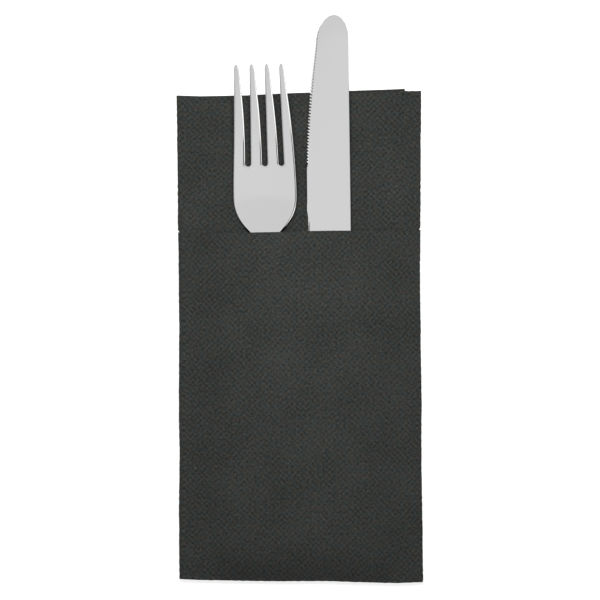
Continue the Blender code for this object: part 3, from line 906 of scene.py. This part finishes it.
def sheet_rows(fold):
    """The rows down and up the sheet at which the mesh has points."""
    tall = fold.top - fold.turn_line
    mouth = BACK + (fold.mouth - fold.turn_line) / tall
    calm = BACK + (fold.mouth + SETTLE_START + SETTLE_LENGTH - fold.turn_line) / tall
    rows = divide(FLAP, TURN, FLAP_ROWS) + divide(TURN, TURN + 1, TURN_ROWS)
    rows += divide(BACK, mouth, BACK_ROWS) + divide(mouth, calm, SETTLE_ROWS)
    return np.array(rows + divide(calm, BACK + 1.0, TOP_ROWS) + [BACK + 1.0])


def headings(grid, axis):
    """The direction of a grid's lines at each of its points, along one axis."""
    steps = np.diff(grid, axis=axis)
    steps /= np.linalg.norm(steps, axis=2, keepdims=True)
    first, last = steps.take([0], axis), steps.take([-1], axis)
    return np.concatenate([first, steps], axis) + np.concatenate([steps, last], axis)


def run_length(line):
    """The distance from the start of a line of points to each of them."""
    return np.concatenate([[0.0], np.cumsum(np.linalg.norm(np.diff(line, axis=0), axis=1))])


def sheet_faces(m, n):
    """Triangles over both sides of an m by n grid, cut along the same diagonals, and round its rim."""
    i, j = np.meshgrid(np.arange(m - 1), np.arange(n - 1), indexing="ij")
    a = (i * n + j).ravel()
    front = np.concatenate([np.stack([a, a + 1, a + n + 1], 1), np.stack([a, a + n + 1, a + n], 1)])
    faces = front.tolist() + (front[:, ::-1] + m * n).tolist()
    rim = [k * n for k in range(m)] + [(m - 1) * n + k for k in range(1, n)]
    rim += [k * n + n - 1 for k in range(m - 2, -1, -1)] + list(range(n - 2, 0, -1))
    for a, b in zip(rim, rim[1:] + rim[:1]):
        faces.append((a, b, b + m * n, a + m * n))
    return faces


def fray(middle, sideways, endways):
    """Moves the cut rim of the sheet a little in and out, as torn fibres leave it."""
    rng = np.random.default_rng(FRAY_SEED)
    m, n = middle.shape[:2]
    for row, size in ((0, MOUTH_RAGGED), (n - 1, RAGGED)):
        middle[:, row] += endways[:, row] / 2 * rng.normal(0, size, (m, 1))
    for column in (0, m - 1):
        middle[column] += sideways[column] / 2 * rng.normal(0, RAGGED, (n, 1))


def build_napkin(paper):
    """The folded sheet, as one closed skin of even thickness that holds where each point lay when flat."""
    fold = Fold(paper)
    swell = Swell(fold, [node_points("fork"), node_points("knife")])
    columns, rows = sheet_columns(fold), sheet_rows(fold)
    s, r = np.meshgrid(columns, rows, indexing="ij")
    middle = fold.middle(s, r, swell)
    sideways, endways = headings(middle, 0), headings(middle, 1)
    normal = np.cross(endways, sideways)
    normal /= np.linalg.norm(normal, axis=2, keepdims=True)
    fray(middle, sideways, endways)
    sides = [middle + normal * side * fold.paper / 2 for side in (1, -1)]
    points = np.concatenate([side.reshape(-1, 3) for side in sides])
    # The board under the pouch presses flat what would sink into it
    points[:, 2] = np.maximum(points[:, 2], 0.0)
    m, n = s.shape
    # Distances over the paper, along one row above the mouth and along one column of the back
    across = run_length(middle[:, n - TOP_ROWS])
    along = run_length(middle[np.searchsorted(columns, THIRD_PANEL) + HIDDEN_STEPS])
    flat = np.stack([np.repeat(across, n), np.tile(along, m), np.zeros(m * n)], axis=1)
    piece = add_piece(
        "folded_napkin", "napkin", points, sheet_faces(m, n), [airlaid_paper(paper)]
    )
    laid = piece.data.attributes.new(FLAT_PLACE, "FLOAT_VECTOR", "POINT")
    laid.data.foreach_set("vector", np.concatenate([flat, flat]).ravel())
    return piece


class ForkShape:
    """The fork in its own frame: its belly at the origin, its tips at +Y."""

    def __init__(self, fork):
        self.fork = fork
        self.end = BELLY_TO_TIP - fork.length
        self.root = BELLY_TO_TIP - fork.tine_length
        self.neck = -SHOULDER_START - SHOULDER_LENGTH
        self.half = fork.head_width / 2
        self.places = []

    def rise(self, y):
        """The height of the middle line, up from the belly to the tips and over the neck's arch."""
        tip = TIP_RISE * (y / BELLY_TO_TIP) ** 2
        back = np.sqrt(y**2 + ARCH_START**2) - ARCH_START
        arch = NECK_ARCH * np.sin(np.pi * clamp(-back / self.end) ** ARCH_SKEW) ** 2
        return np.where(y > 0, tip, arch)

    def half_width(self, y):
        """Half the width over the tines."""
        return self.half - (self.half - FORK_TIP_WIDTH / 2) * clamp(y / BELLY_TO_TIP) ** HEAD_TAPER

    def thickness(self, y):
        """The thickness of the steel."""
        head = mix(FORK_HEAD_THICKNESS, FORK_TIP_THICKNESS, y / BELLY_TO_TIP)
        shoulder = mix(FORK_HEAD_THICKNESS, FORK_NECK_THICKNESS, ease(y / self.neck))
        run = ease((y - self.neck) / (self.end - self.neck))
        handle = mix(FORK_NECK_THICKNESS, FORK_HANDLE_THICKNESS, run)
        return np.select([y > 0, y > self.neck], [head, shoulder], handle)

    def surface(self, x, y):
        """The height of the middle surface, dished across the palm."""
        palm = np.exp(-(((y - PALM_CENTRE) / PALM_SPREAD) ** 2))
        return self.rise(y) + PALM_DISH * palm * (x / self.half) ** 2

    def lean(self, x, y):
        """How far the inner tines stand to the right of even spacing."""
        run = y - self.root
        most = mix(*TINE_LEAN, clamp(run / self.fork.tine_length)) * ease(1 + run / TINE_LEAN_START)
        return most * (1 - clamp(np.abs(x) / self.half) ** 2)

    def points(self):
        """The points of all rows so far, each set off from the middle surface to its side."""
        x, y, side = np.array(self.places).T
        x = x + self.lean(x, y)
        step = 0.02 * MM
        slope_x = (self.surface(x + step, y) - self.surface(x - step, y)) / (2 * step)
        slope_y = (self.surface(x, y + step) - self.surface(x, y - step)) / (2 * step)
        normal = np.stack([-slope_x, -slope_y, np.ones_like(x)], axis=1)
        normal /= np.linalg.norm(normal, axis=1, keepdims=True)
        middle = np.stack([x, y, self.surface(x, y)], axis=1)
        return middle + normal * (side * self.thickness(y) / 2)[:, None]

    def outline(self):
        """Rows (y, half width) from the handle's end to the last one before the slots."""
        half_neck, half_end = FORK_NECK_WIDTH / 2, FORK_HANDLE_WIDTH / 2
        rows = []
        for k in range(1, END_ROWS + 1):
            turn = math.pi / 2 * k / END_ROWS
            rows.append((self.end + FORK_END_RADIUS * (1 - math.cos(turn)), half_end * math.sin(turn)))
        start = self.end + FORK_END_RADIUS
        for k in range(1, HANDLE_ROWS):
            share = k / HANDLE_ROWS
            rows.append((mix(start, self.neck, share), mix(half_end, half_neck, ease(share**HANDLE_SWELL))))
        for k in range(SHOULDER_ROWS + 1):
            t = k / SHOULDER_ROWS
            back = bezier(0, -NECK_HANDLE, SHOULDER_HANDLE - SHOULDER_LENGTH, -SHOULDER_LENGTH, t)
            rows.append((self.neck - back, bezier(half_neck, half_neck, self.half, self.half, t)))
        last = self.root - SLOT_WIDTH / 2
        for y in divide(-SHOULDER_START, last, HEAD_ROWS)[1:] + [last]:
            rows.append((y, float(self.half_width(y))))
        return rows

    def slot(self, y):
        """The gap between two tines, wider towards the tips."""
        root = self.root + SLOT_WIDTH
        return SLOT_WIDTH + SLOT_SPREAD * float(clamp((y - root) / (BELLY_TO_TIP - root))) ** SLOT_FLARE

    def tines(self, half, gap):
        """The left and right side of each of the four tines."""
        wide = (2 * half - 3 * gap) / 4
        return [(-half + k * (wide + gap), -half + k * (wide + gap) + wide) for k in range(4)]

    def columns(self, half, gap):
        """The points across the whole head: tines and slots, from left to right."""
        sides, across = self.tines(half, gap), []
        for k, (left, right) in enumerate(sides):
            across += divide(left, right, TINE_STEPS)
            if k < 3:
                across += divide(right, sides[k + 1][0], SLOT_STEPS)
        return across + [sides[3][1]]

    def root_row(self, rolled):
        """The row (x, y) that runs round the roots of the slots."""
        centre, inset = self.root + SLOT_WIDTH / 2, FORK_EDGE * rolled
        gap = SLOT_WIDTH + 2 * inset
        sides = self.tines(float(self.half_width(centre)) - inset, gap)
        row = []
        for k, (left, right) in enumerate(sides):
            row += [(x, centre) for x in divide(left, right, TINE_STEPS)]
            if k < 3:
                for step in range(SLOT_STEPS):
                    turn = math.pi * step / SLOT_STEPS
                    row.append((right + gap / 2 * (1 - math.cos(turn)), centre - gap / 2 * math.sin(turn)))
        return row + [(sides[3][1], centre)]

    def tine_rows(self, rolled):
        """For each row out to the tips, y and the sides of the four tines."""
        start, shoulder = self.root + SLOT_WIDTH / 2, BELLY_TO_TIP - TINE_POINT
        rows = []
        for k in range(1, TINE_ROWS + 1):
            share = k / TINE_ROWS
            y = mix(start, shoulder, share)
            half, gap = float(self.half_width(y)), self.slot(y)
            edge = min(FORK_EDGE, EDGE_SHARE * (2 * half - 3 * gap) / 4)
            inset = rolled * mix(edge, TINE_TIP_EDGE, share**TINE_EDGE_FADE)
            rows.append((y, self.tines(half - inset, gap + 2 * inset)))
        widest, point = rows[-1][1], TINE_POINT - rolled * TINE_TIP_EDGE
        for k in range(1, TIP_ROWS + 1):
            turn = TIP_ROW_TURN * k
            middles = [((left + right) / 2, (right - left) / 2 * math.cos(turn)) for left, right in widest]
            sides = [(middle - half, middle + half) for middle, half in middles]
            rows.append((shoulder + point * math.sin(turn), sides))
        return rows

    def row(self, places, side):
        """Adds a row of places on one surface and gives their numbers."""
        first = len(self.places)
        self.places += [(x, y, side) for x, y in places]
        return list(range(first, len(self.places)))

    def layer(self, rolled, side):
        """Adds one ring of the round edge and the surface in it. Gives its palm rows and each tine's rows.

        rolled is how far the ring stands in from the outline, as a share of the edge.
        """
        across = np.array(self.columns(self.half, SLOT_WIDTH))
        inset = FORK_EDGE * rolled
        palm, straight = [], None
        for k, (y, half) in enumerate(self.outline()):
            straight = [(x * (half - inset) / self.half, y + (inset if k == 0 else 0.0)) for x in across]
            palm.append(self.row(straight, side))
        root = self.root_row(rolled)
        for share in ROOT_SHARES:
            bent = [(mix(a[0], b[0], share), mix(a[1], b[1], share)) for a, b in zip(straight, root)]
            palm.append(self.row(bent, side))
        tines = [[] for _ in range(4)]
        for y, sides in self.tine_rows(rolled):
            for k, (left, right) in enumerate(sides):
                tines[k].append(self.row([(x, y) for x in divide(left, right, TINE_STEPS) + [right]], side))
        return palm, tines


def bezier(a, b, c, d, t):
    """A value along a cubic curve with the two ends a, d and the two handles b, c."""
    return a * (1 - t) ** 3 + 3 * b * t * (1 - t) ** 2 + 3 * c * t * t * (1 - t) + d * t**3


def strip(a, b, turned=False):
    """Quads between two rows of point numbers, facing up, or down if turned."""
    quads = [(a[k], a[k + 1], b[k + 1], b[k]) for k in range(len(a) - 1)]
    return [quad[::-1] for quad in quads] if turned else quads


def fork_rim(palm, tines):
    """The point numbers round one layer of the fork, closed."""
    pace = TINE_STEPS + SLOT_STEPS
    # Up the right edge, round the tines from right to left, and down the left edge to the handle's end
    loop = [row[-1] for row in palm]
    for k in range(3, -1, -1):
        rows = tines[k]
        loop += [row[-1] for row in rows] + rows[-1][-2:0:-1] + [row[0] for row in rows[::-1]]
        loop.append(palm[-1][k * pace])
        if k:
            loop += palm[-1][k * pace - 1 : k * pace - SLOT_STEPS - 1 : -1]
    loop += [row[0] for row in palm[-2::-1]] + palm[0][1:-1]
    return loop + loop[:1]


def build_fork(fork):
    """The four-tined fork with its edges rolled round, turned as it lies in the pocket."""
    shape = ForkShape(fork)
    faces, rims = [], []
    # Rings of the round edge, from the upper surface over the outline to the under surface
    for ring in range(2 * EDGE_RINGS + 1):
        turn = math.pi / 2 * (1 - ring / EDGE_RINGS)
        side = math.sin(turn)
        if ring != EDGE_RINGS:
            side = math.copysign(mix(EDGE_WALL, 1.0, abs(side)), side)
        palm, tines = shape.layer(1 - math.cos(turn) + EDGE_UNDERCUT * max(-side, 0.0), side)
        rims.append(fork_rim(palm, tines))
        if ring in (0, 2 * EDGE_RINGS):
            for a, b in zip(palm, palm[1:]):
                faces += strip(a, b, ring > 0)
            for k, rows in enumerate(tines):
                start = k * (TINE_STEPS + SLOT_STEPS)
                foot = palm[-1][start : start + TINE_STEPS + 1]
                for a, b in zip([foot] + rows, rows):
                    faces += strip(a, b, ring > 0)
    for upper, lower in zip(rims, rims[1:]):
        faces += strip(lower, upper)
    points = shape.points()
    # The rings between the two surfaces use only the points on their rims
    used = np.unique([v for face in faces for v in face])
    number = {v: k for k, v in enumerate(used.tolist())}
    faces = [tuple(number[v] for v in face) for face in faces]
    turn = Matrix.Rotation(FORK_YAW, 3, "Z") @ Matrix.Rotation(-FORK_ROLL, 3, "Y")
    return points[used] @ np.array(turn).T, faces


def knife_places(knife):
    """Distances from the tip at which the knife has a section, closest together where it has teeth."""
    turns = np.arange(1, TIP_STATIONS + 1) * TIP_STATION_TURN
    end_turns = np.arange(1, END_STATIONS + 1) * END_STATION_TURN
    teeth = round(SERRATION_LENGTH / TOOTH_PITCH)
    toothed = SERRATION_START + teeth * TOOTH_PITCH
    heel, bolster = knife.blade_length - HEEL_SHOW, knife.blade_length
    end = knife.length - KNIFE_END_RADIUS
    places = [BLADE_TIP_DEPTH * (1 - np.cos(turns))]
    places.append(np.linspace(SERRATION_START, toothed, TOOTH_STATIONS * teeth + 1))
    places.append(np.linspace(toothed, heel - HEEL_STEP_LENGTH, PLAIN_STATIONS)[1:])
    places.append(np.linspace(heel - HEEL_STEP_LENGTH, bolster, HEEL_STATIONS)[1:])
    places.append(np.linspace(bolster, end, GRIP_STATIONS)[1:])
    places.append(end + KNIFE_END_RADIUS * np.sin(end_turns))
    return np.concatenate(places)[:, None]


def tooth_shape(d):
    """How far the cutting edge is cut in at a distance from the tip, from 0 to 1, and how deep a tooth is."""
    place = (d - SERRATION_START) / TOOTH_PITCH
    toothed = (place >= 0) & (place <= round(SERRATION_LENGTH / TOOTH_PITCH))
    along = np.mod(place + 1e-6, 1.0)
    bite = np.where(along < TOOTH_LEAN, 1 - along / TOOTH_LEAN, (along - TOOTH_LEAN) / (1 - TOOTH_LEAN))
    grown = ease((d - SERRATION_START) / TOOTH_GROW)
    fade = mix(1.0, TOOTH_LAST, ease((d - TOOTH_FADE_START) / TOOTH_FADE_LENGTH))
    return np.where(toothed, bite, TOOTH_OUT), np.where(toothed, TOOTH_DEPTH * grown * fade, 0.0)


def blade_form(knife, d, column):
    """The blade's places across, its upper and lower height, and where the teeth's bevel is ground, which
    takes the steel painted brighter as a highlight.
    """
    # The outline at each distance from the tip, and the teeth that are cut into it
    half = knife.blade_width / 2
    step_in = HEEL_STEP * ease((d - knife.blade_length + HEEL_SHOW + HEEL_STEP_LENGTH) / HEEL_STEP_LENGTH)
    left_wide = half - BLADE_TIP_CUT * clamp(1 - d / BLADE_BELLY) ** BLADE_CURVE + BLADE_TIP_OFFSET
    left_wide = left_wide - step_in
    right_wide = half - BLADE_TIP_OFFSET
    b = clamp(1 - d / BLADE_TIP_DEPTH)
    reach = np.sqrt(1 - b**2)
    left, right = BLADE_TIP_OFFSET - left_wide * reach, BLADE_TIP_OFFSET + right_wide * reach
    bite, deep = tooth_shape(d)
    points_line = left - TOOTH_OUT * deep
    cut = points_line + deep * bite
    inner = left + EDGE_BAND * reach
    band = column / BAND_STEPS
    rest = np.sin(np.pi / 2 * clamp((column - BAND_STEPS) / BLADE_STEPS))
    x = np.where(column < BAND_STEPS, mix(cut, inner, band), mix(inner, right, rest))
    # The section: thin at the cutting edge, domed at the spine, and with a small chamfer above
    aside = x - BLADE_TIP_OFFSET
    wide = np.where(aside < 0, left_wide, right_wide)
    a = np.abs(aside) / wide
    level = np.sqrt(a**2 + b**2) + 1e-9
    depth = (1 - level) * level / (np.sqrt((a / wide) ** 2 + (b / BLADE_TIP_DEPTH) ** 2) + 1e-9)
    thin = EDGE_THICKNESS / BLADE_THICKNESS
    share = clamp((x - left) / (right - left))
    thick = BLADE_THICKNESS / 2 * mix(thin, 1.0, clamp(share / BLADE_FULL)) * mix(BLADE_TIP_THIN, 1.0, reach)
    rounded = clamp((np.sign(aside) * a + 2 * b) / level)
    dome = np.sqrt(1 - (1 - clamp(depth / SPINE_RADIUS)) ** 2)
    height = np.maximum(thick * mix(1.0, dome, rounded), EDGE_FLAT)
    plain = np.minimum(height, np.maximum(thick - CHAMFER, EDGE_FLAT) + x - cut)
    # What is ground away from above: the teeth's bevel, a gullet in each tooth, and a ledge at the heel
    start = mix(thick, -thick + TOOTH_FLAT, ease((d - SERRATION_START) / TOOTH_GROW))
    bevel = start + (x - points_line) * BEVEL_SLOPE
    gullet_start, gullet_end = GULLET_BITES
    steep = mix(*GULLET_ANGLES, ease((bite - gullet_start) / (gullet_end - gullet_start)))
    gullet = -thick + TOOTH_FLAT / 2 + (x - cut) * np.tan(steep)
    ledge = mix(thick, -thick + TOOTH_FLAT, ease((d - knife.blade_length + HEEL_SHOW) / HEEL_TURN))
    ledge = ledge + np.maximum(x - left - HEEL_LEDGE, 0.0) * HEEL_SLOPE
    # These ground faces also take the steel that is painted brighter, a painted highlight on the facets
    ground = (deep > 0) & (bevel < np.minimum(plain, gullet))
    top = np.where(deep > 0, np.minimum(plain, np.minimum(bevel, gullet)), np.minimum(plain, ledge))
    return x, top, -height, ground


def handle_form(knife, d, share):
    """The bolster's and the handle's places across and half height."""
    start, end = knife.blade_length, knife.length - KNIFE_END_RADIUS
    run = ease((d - start) / (end - start))
    narrow = np.sqrt(1 - clamp((d - end) / KNIFE_END_RADIUS) ** 2)
    half = mix(BOLSTER_WIDTH, KNIFE_HANDLE_WIDTH, run) / 2 * narrow
    thick = mix(BOLSTER_THICKNESS, KNIFE_HANDLE_THICKNESS, run) / 2
    thick *= mix(KNIFE_END_THIN, 1.0, narrow)
    across = 2 * share - 1
    return half * across, np.maximum(thick * (1 - np.abs(across) ** 3) ** (1 / 3), EDGE_FLAT)


def build_knife(knife):
    """The one-piece knife with its ground teeth, in its own frame with the handle's end at the origin."""
    d = knife_places(knife)
    steps = BAND_STEPS + BLADE_STEPS
    column = np.arange(steps + 1)[None, :]
    x, top, bottom, ground = blade_form(knife, d, column)
    grip_x, grip_z = handle_form(knife, d, (1 - np.cos(np.pi * column / steps)) / 2)
    grip = ease((d - knife.blade_length + BOLSTER_BLEND) / BOLSTER_BLEND)
    x, top, bottom = mix(x, grip_x, grip), mix(top, grip_z, grip), mix(bottom, -grip_z, grip)
    y = knife.length - d + 0 * x
    sections = [np.stack([x, y, top], axis=2), np.stack([x, y, bottom], axis=2)[:, ::-1]]
    points = np.concatenate(sections, axis=1)
    m, n = points.shape[:2]
    faces, finish = [], []
    for i in range(m - 1):
        ring = [i * n + k for k in range(n)]
        faces += [(a, a + n, b + n, b) for a, b in zip(ring, ring[1:] + ring[:1])]
        # Faces wholly on the ground teeth take the second steel, painted brighter as a highlight
        painted_highlight_faces = ground[i, :-1] & ground[i, 1:] & ground[i + 1, :-1] & ground[i + 1, 1:]
        finish += painted_highlight_faces.astype(int).tolist() + [0] * (n - steps)
    faces.append(tuple(range(n)))
    faces.append(tuple(range(m * n - 1, (m - 1) * n - 1, -1)))
    turn = Matrix.Rotation(KNIFE_LEAN, 3, "Z")
    return points.reshape(-1, 3) @ np.array(turn).T, faces, finish + [0, 0]


def seat(points, floor, x, y):
    """The points of a piece of cutlery, moved to where it lies on the pocket's floor."""
    return points + np.array([x, y, floor + REST_GAP - points[:, 2].min()])


def pair_width(scene):
    """The width that the fork and the knife take up side by side."""
    return scene.pouch_fork.head_width + CUTLERY_GAP + scene.pouch_knife.blade_width


def steel_sky(tree):
    """The sky that shows in the steel: a white tent, with the gap that the picture is taken through."""
    heading = add_node(tree, "ShaderNodeTexCoord").outputs["Generated"]
    parts = add_node(tree, "ShaderNodeSeparateXYZ", links={"Vector": heading})
    height = add_node(
        tree, "ShaderNodeMath", {"operation": "MULTIPLY_ADD", 1: 0.5, 2: 0.5}, {0: parts.outputs["Z"]}
    )
    ramp = add_node(tree, "ShaderNodeValToRGB", links={"Fac": height.outputs[0]})
    stops = ramp.color_ramp.elements
    stops.remove(stops[0])
    for k, (angle, light) in enumerate(SKY):
        stop = stops[0] if k == 0 else stops.new(1.0)
        stop.position = 0.5 + 0.5 * math.cos(math.radians(angle))
        stop.color = (light, light, light, 1)
    dim = add_node(
        tree,
        "ShaderNodeMapRange",
        {
            "interpolation_type": "SMOOTHSTEP",
            "From Min": SKY_DIM_START,
            "From Max": SKY_DIM_END,
            "To Min": 1.0,
            "To Max": SKY_DIM,
        },
        {"Value": parts.outputs["Y"]},
    )
    off = add_node(
        tree,
        "ShaderNodeMapping",
        {"vector_type": "TEXTURE", "Location": GAP_PLACE, "Scale": GAP_SIZE},
        {"Vector": heading},
    )
    away = add_node(tree, "ShaderNodeVectorMath", {"operation": "ABSOLUTE"}, {0: off.outputs[0]})
    sides = add_node(tree, "ShaderNodeSeparateXYZ", links={"Vector": away.outputs[0]})
    farthest = add_node(
        tree, "ShaderNodeMath", {"operation": "MAXIMUM"}, {0: sides.outputs["X"], 1: sides.outputs["Y"]}
    )
    tent = add_node(
        tree,
        "ShaderNodeMapRange",
        {
            "interpolation_type": "SMOOTHSTEP",
            "From Min": GAP_EDGE[0],
            "From Max": GAP_EDGE[1],
            "To Min": GAP_LIGHT,
        },
        {"Value": farthest.outputs[0]},
    )
    sky = ramp.outputs["Color"]
    for share in (dim, tent):
        less = add_node(
            tree, "ShaderNodeMath", {"operation": "MULTIPLY"}, {0: sky, 1: share.outputs["Result"]}
        )
        sky = less.outputs[0]
    return sky


def studio_world(room_light):
    """Soft light all round. The camera sees white, and the steel a white sky that dims towards its rim."""
    world = bpy.data.worlds.new("soft_studio")
    bpy.context.scene.world = world
    world.use_nodes = True
    world.cycles.sampling_method = "NONE"
    tree = world.node_tree
    path = add_node(tree, "ShaderNodeLightPath")
    mirrored = add_node(
        tree,
        "ShaderNodeMath",
        {"operation": "MAXIMUM"},
        {0: path.outputs["Is Glossy Ray"], 1: path.outputs["Is Transmission Ray"]},
    )
    lit = add_node(
        tree,
        "ShaderNodeMix",
        {"data_type": "FLOAT", 2: room_light},
        {0: mirrored.outputs[0], 3: steel_sky(tree)},
    )
    strength = add_node(
        tree,
        "ShaderNodeMix",
        {"data_type": "FLOAT", 3: 1.0},
        {0: path.outputs["Is Camera Ray"], 2: lit.outputs[0]},
    )
    background = tree.nodes["Background"]
    background.inputs["Color"].default_value = (1, 1, 1, 1)
    tree.links.new(strength.outputs[0], background.inputs["Strength"])


def add_lamp(name, place, size, power, target=(0, 0, 0)):
    """A soft rectangular lamp that is aimed at a place on the pouch."""
    lamp = bpy.data.lights.new(name, "AREA")
    lamp.shape = "RECTANGLE"
    lamp.size, lamp.size_y = size
    lamp.energy = power
    holder = bpy.data.objects.new(name, lamp)
    holder.location = place
    holder.rotation_euler = (Vector(target) - Vector(place)).to_track_quat("-Z", "Y").to_euler()
    holder.visible_camera = False
    bpy.context.collection.objects.link(holder)
    return holder


def lay_board(colour):
    """The pale board that the pouch lies on."""
    mesh = bpy.data.meshes.new("pale_board")
    r = BOARD_SIZE / 2
    corners = [(x, y, -BOARD_DROP) for x, y in ((-r, -r), (r, -r), (r, r), (-r, r))]
    mesh.from_pydata(corners, [], [(0, 1, 2, 3)])
    mesh.materials.append(matt_board(colour))
    board = bpy.data.objects.new("pale_board", mesh)
    bpy.context.collection.objects.link(board)


def set_camera(stage):
    """The camera straight above the pouch, far enough away to see it almost without perspective."""
    lens = bpy.data.cameras.new("camera_above")
    lens.lens = lens.sensor_width * stage.distance / stage.field
    camera = bpy.data.objects.new("camera_above", lens)
    camera.location = (stage.middle_x, stage.middle_y, stage.focus_height + stage.distance)
    bpy.context.collection.objects.link(camera)
    bpy.context.scene.camera = camera


class FoldPouchNapkin(bpy.types.Operator):
    """Folds the paper sheet into a pouch"""

    bl_idname = "pouch.fold_napkin"
    bl_label = "Fold napkin"

    def execute(self, context):
        napkin = build_napkin(context.scene.pouch_paper)
        return {"FINISHED"}


class MakePouchFork(bpy.types.Operator):
    """Makes the fork and lays it in the pocket"""

    bl_idname = "pouch.make_fork"
    bl_label = "Make fork"

    def execute(self, context):
        fork, fold = context.scene.pouch_fork, Fold(context.scene.pouch_paper)
        points, faces = build_fork(fork)
        x = CUTLERY_OFFSET - pair_width(context.scene) / 2 + fork.head_width / 2
        y = fold.bottom + END_GAP + fork.length - BELLY_TO_TIP
        points = seat(points, fold.floor, x, y)
        add_piece("table_fork", "fork", points, faces, [polished_steel(fork.colour)])
        return {"FINISHED"}


class MakePouchKnife(bpy.types.Operator):
    """Makes the table knife and lays it in the pocket"""

    bl_idname = "pouch.make_knife"
    bl_label = "Make knife"

    def execute(self, context):
        knife, fold = context.scene.pouch_knife, Fold(context.scene.pouch_paper)
        points, faces, finish = build_knife(knife)
        x = CUTLERY_OFFSET + pair_width(context.scene) / 2 - knife.blade_width / 2
        x += (knife.length - BLADE_BELLY) * math.sin(KNIFE_LEAN)
        points = seat(points, fold.floor, x, fold.bottom + END_GAP)
        # The second steel is the ground one, painted brighter as a highlight on the teeth
        metals = [polished_steel(knife.colour), ground_steel_painted_highlight()]
        add_piece("table_knife", "knife", points, faces, metals, finish, FINE_SHARP)
        return {"FINISHED"}


class SetPouchStage(bpy.types.Operator):
    """Lays the board and sets the lamps, the soft light and the camera"""

    bl_idname = "pouch.set_stage"
    bl_label = "Set stage"

    def execute(self, context):
        stage = context.scene.pouch_stage
        set_camera(stage)
        lay_board(stage.floor_colour)
        studio_world(stage.room_light)
        # The lamp lights the paper alone, and the card shows in the steel alone
        soft = add_lamp("lamp_above_mouth", LAMP_PLACE, LAMP_SIZE, stage.lamp_power, LAMP_TARGET)
        soft.visible_glossy = False
        card = add_lamp("white_card_right", CARD_PLACE, CARD_SIZE, stage.card_power)
        card.visible_diffuse = False
        context.scene.view_settings.view_transform = "Standard"
        return {"FINISHED"}


class VIEW3D_PT_pouch(bpy.types.Panel):
    """Settings and steps of the cutlery pouch napkin"""

    bl_label = "Cutlery Pouch Napkin"
    bl_space_type = "VIEW_3D"
    bl_region_type = "UI"
    bl_category = "Pouch"

    def draw(self, context):
        for name, settings, operator in STEPS:
            box = self.layout.box()
            for size in settings.__annotations__:
                box.prop(getattr(context.scene, name), size)
            box.operator(operator.bl_idname)


# The steps in order: where each keeps its settings in the scene, their class, and its operator
STEPS = (
    ("pouch_stage", PouchStageSettings, SetPouchStage),
    ("pouch_paper", PouchPaperSettings, FoldPouchNapkin),
    ("pouch_fork", PouchForkSettings, MakePouchFork),
    ("pouch_knife", PouchKnifeSettings, MakePouchKnife),
)


def register():
    for name, settings, operator in STEPS:
        bpy.utils.register_class(settings)
        bpy.utils.register_class(operator)
        setattr(bpy.types.Scene, name, PointerProperty(type=settings))
    bpy.utils.register_class(VIEW3D_PT_pouch)


def unregister():
    bpy.utils.unregister_class(VIEW3D_PT_pouch)
    for name, settings, operator in reversed(STEPS):
        delattr(bpy.types.Scene, name)
        bpy.utils.unregister_class(operator)
        bpy.utils.unregister_class(settings)


def main():
    register()
    bpy.ops.pouch.set_stage()
    bpy.ops.pouch.fold_napkin()
    bpy.ops.pouch.make_fork()
    bpy.ops.pouch.make_knife()


if __name__ == "__main__":
    main()
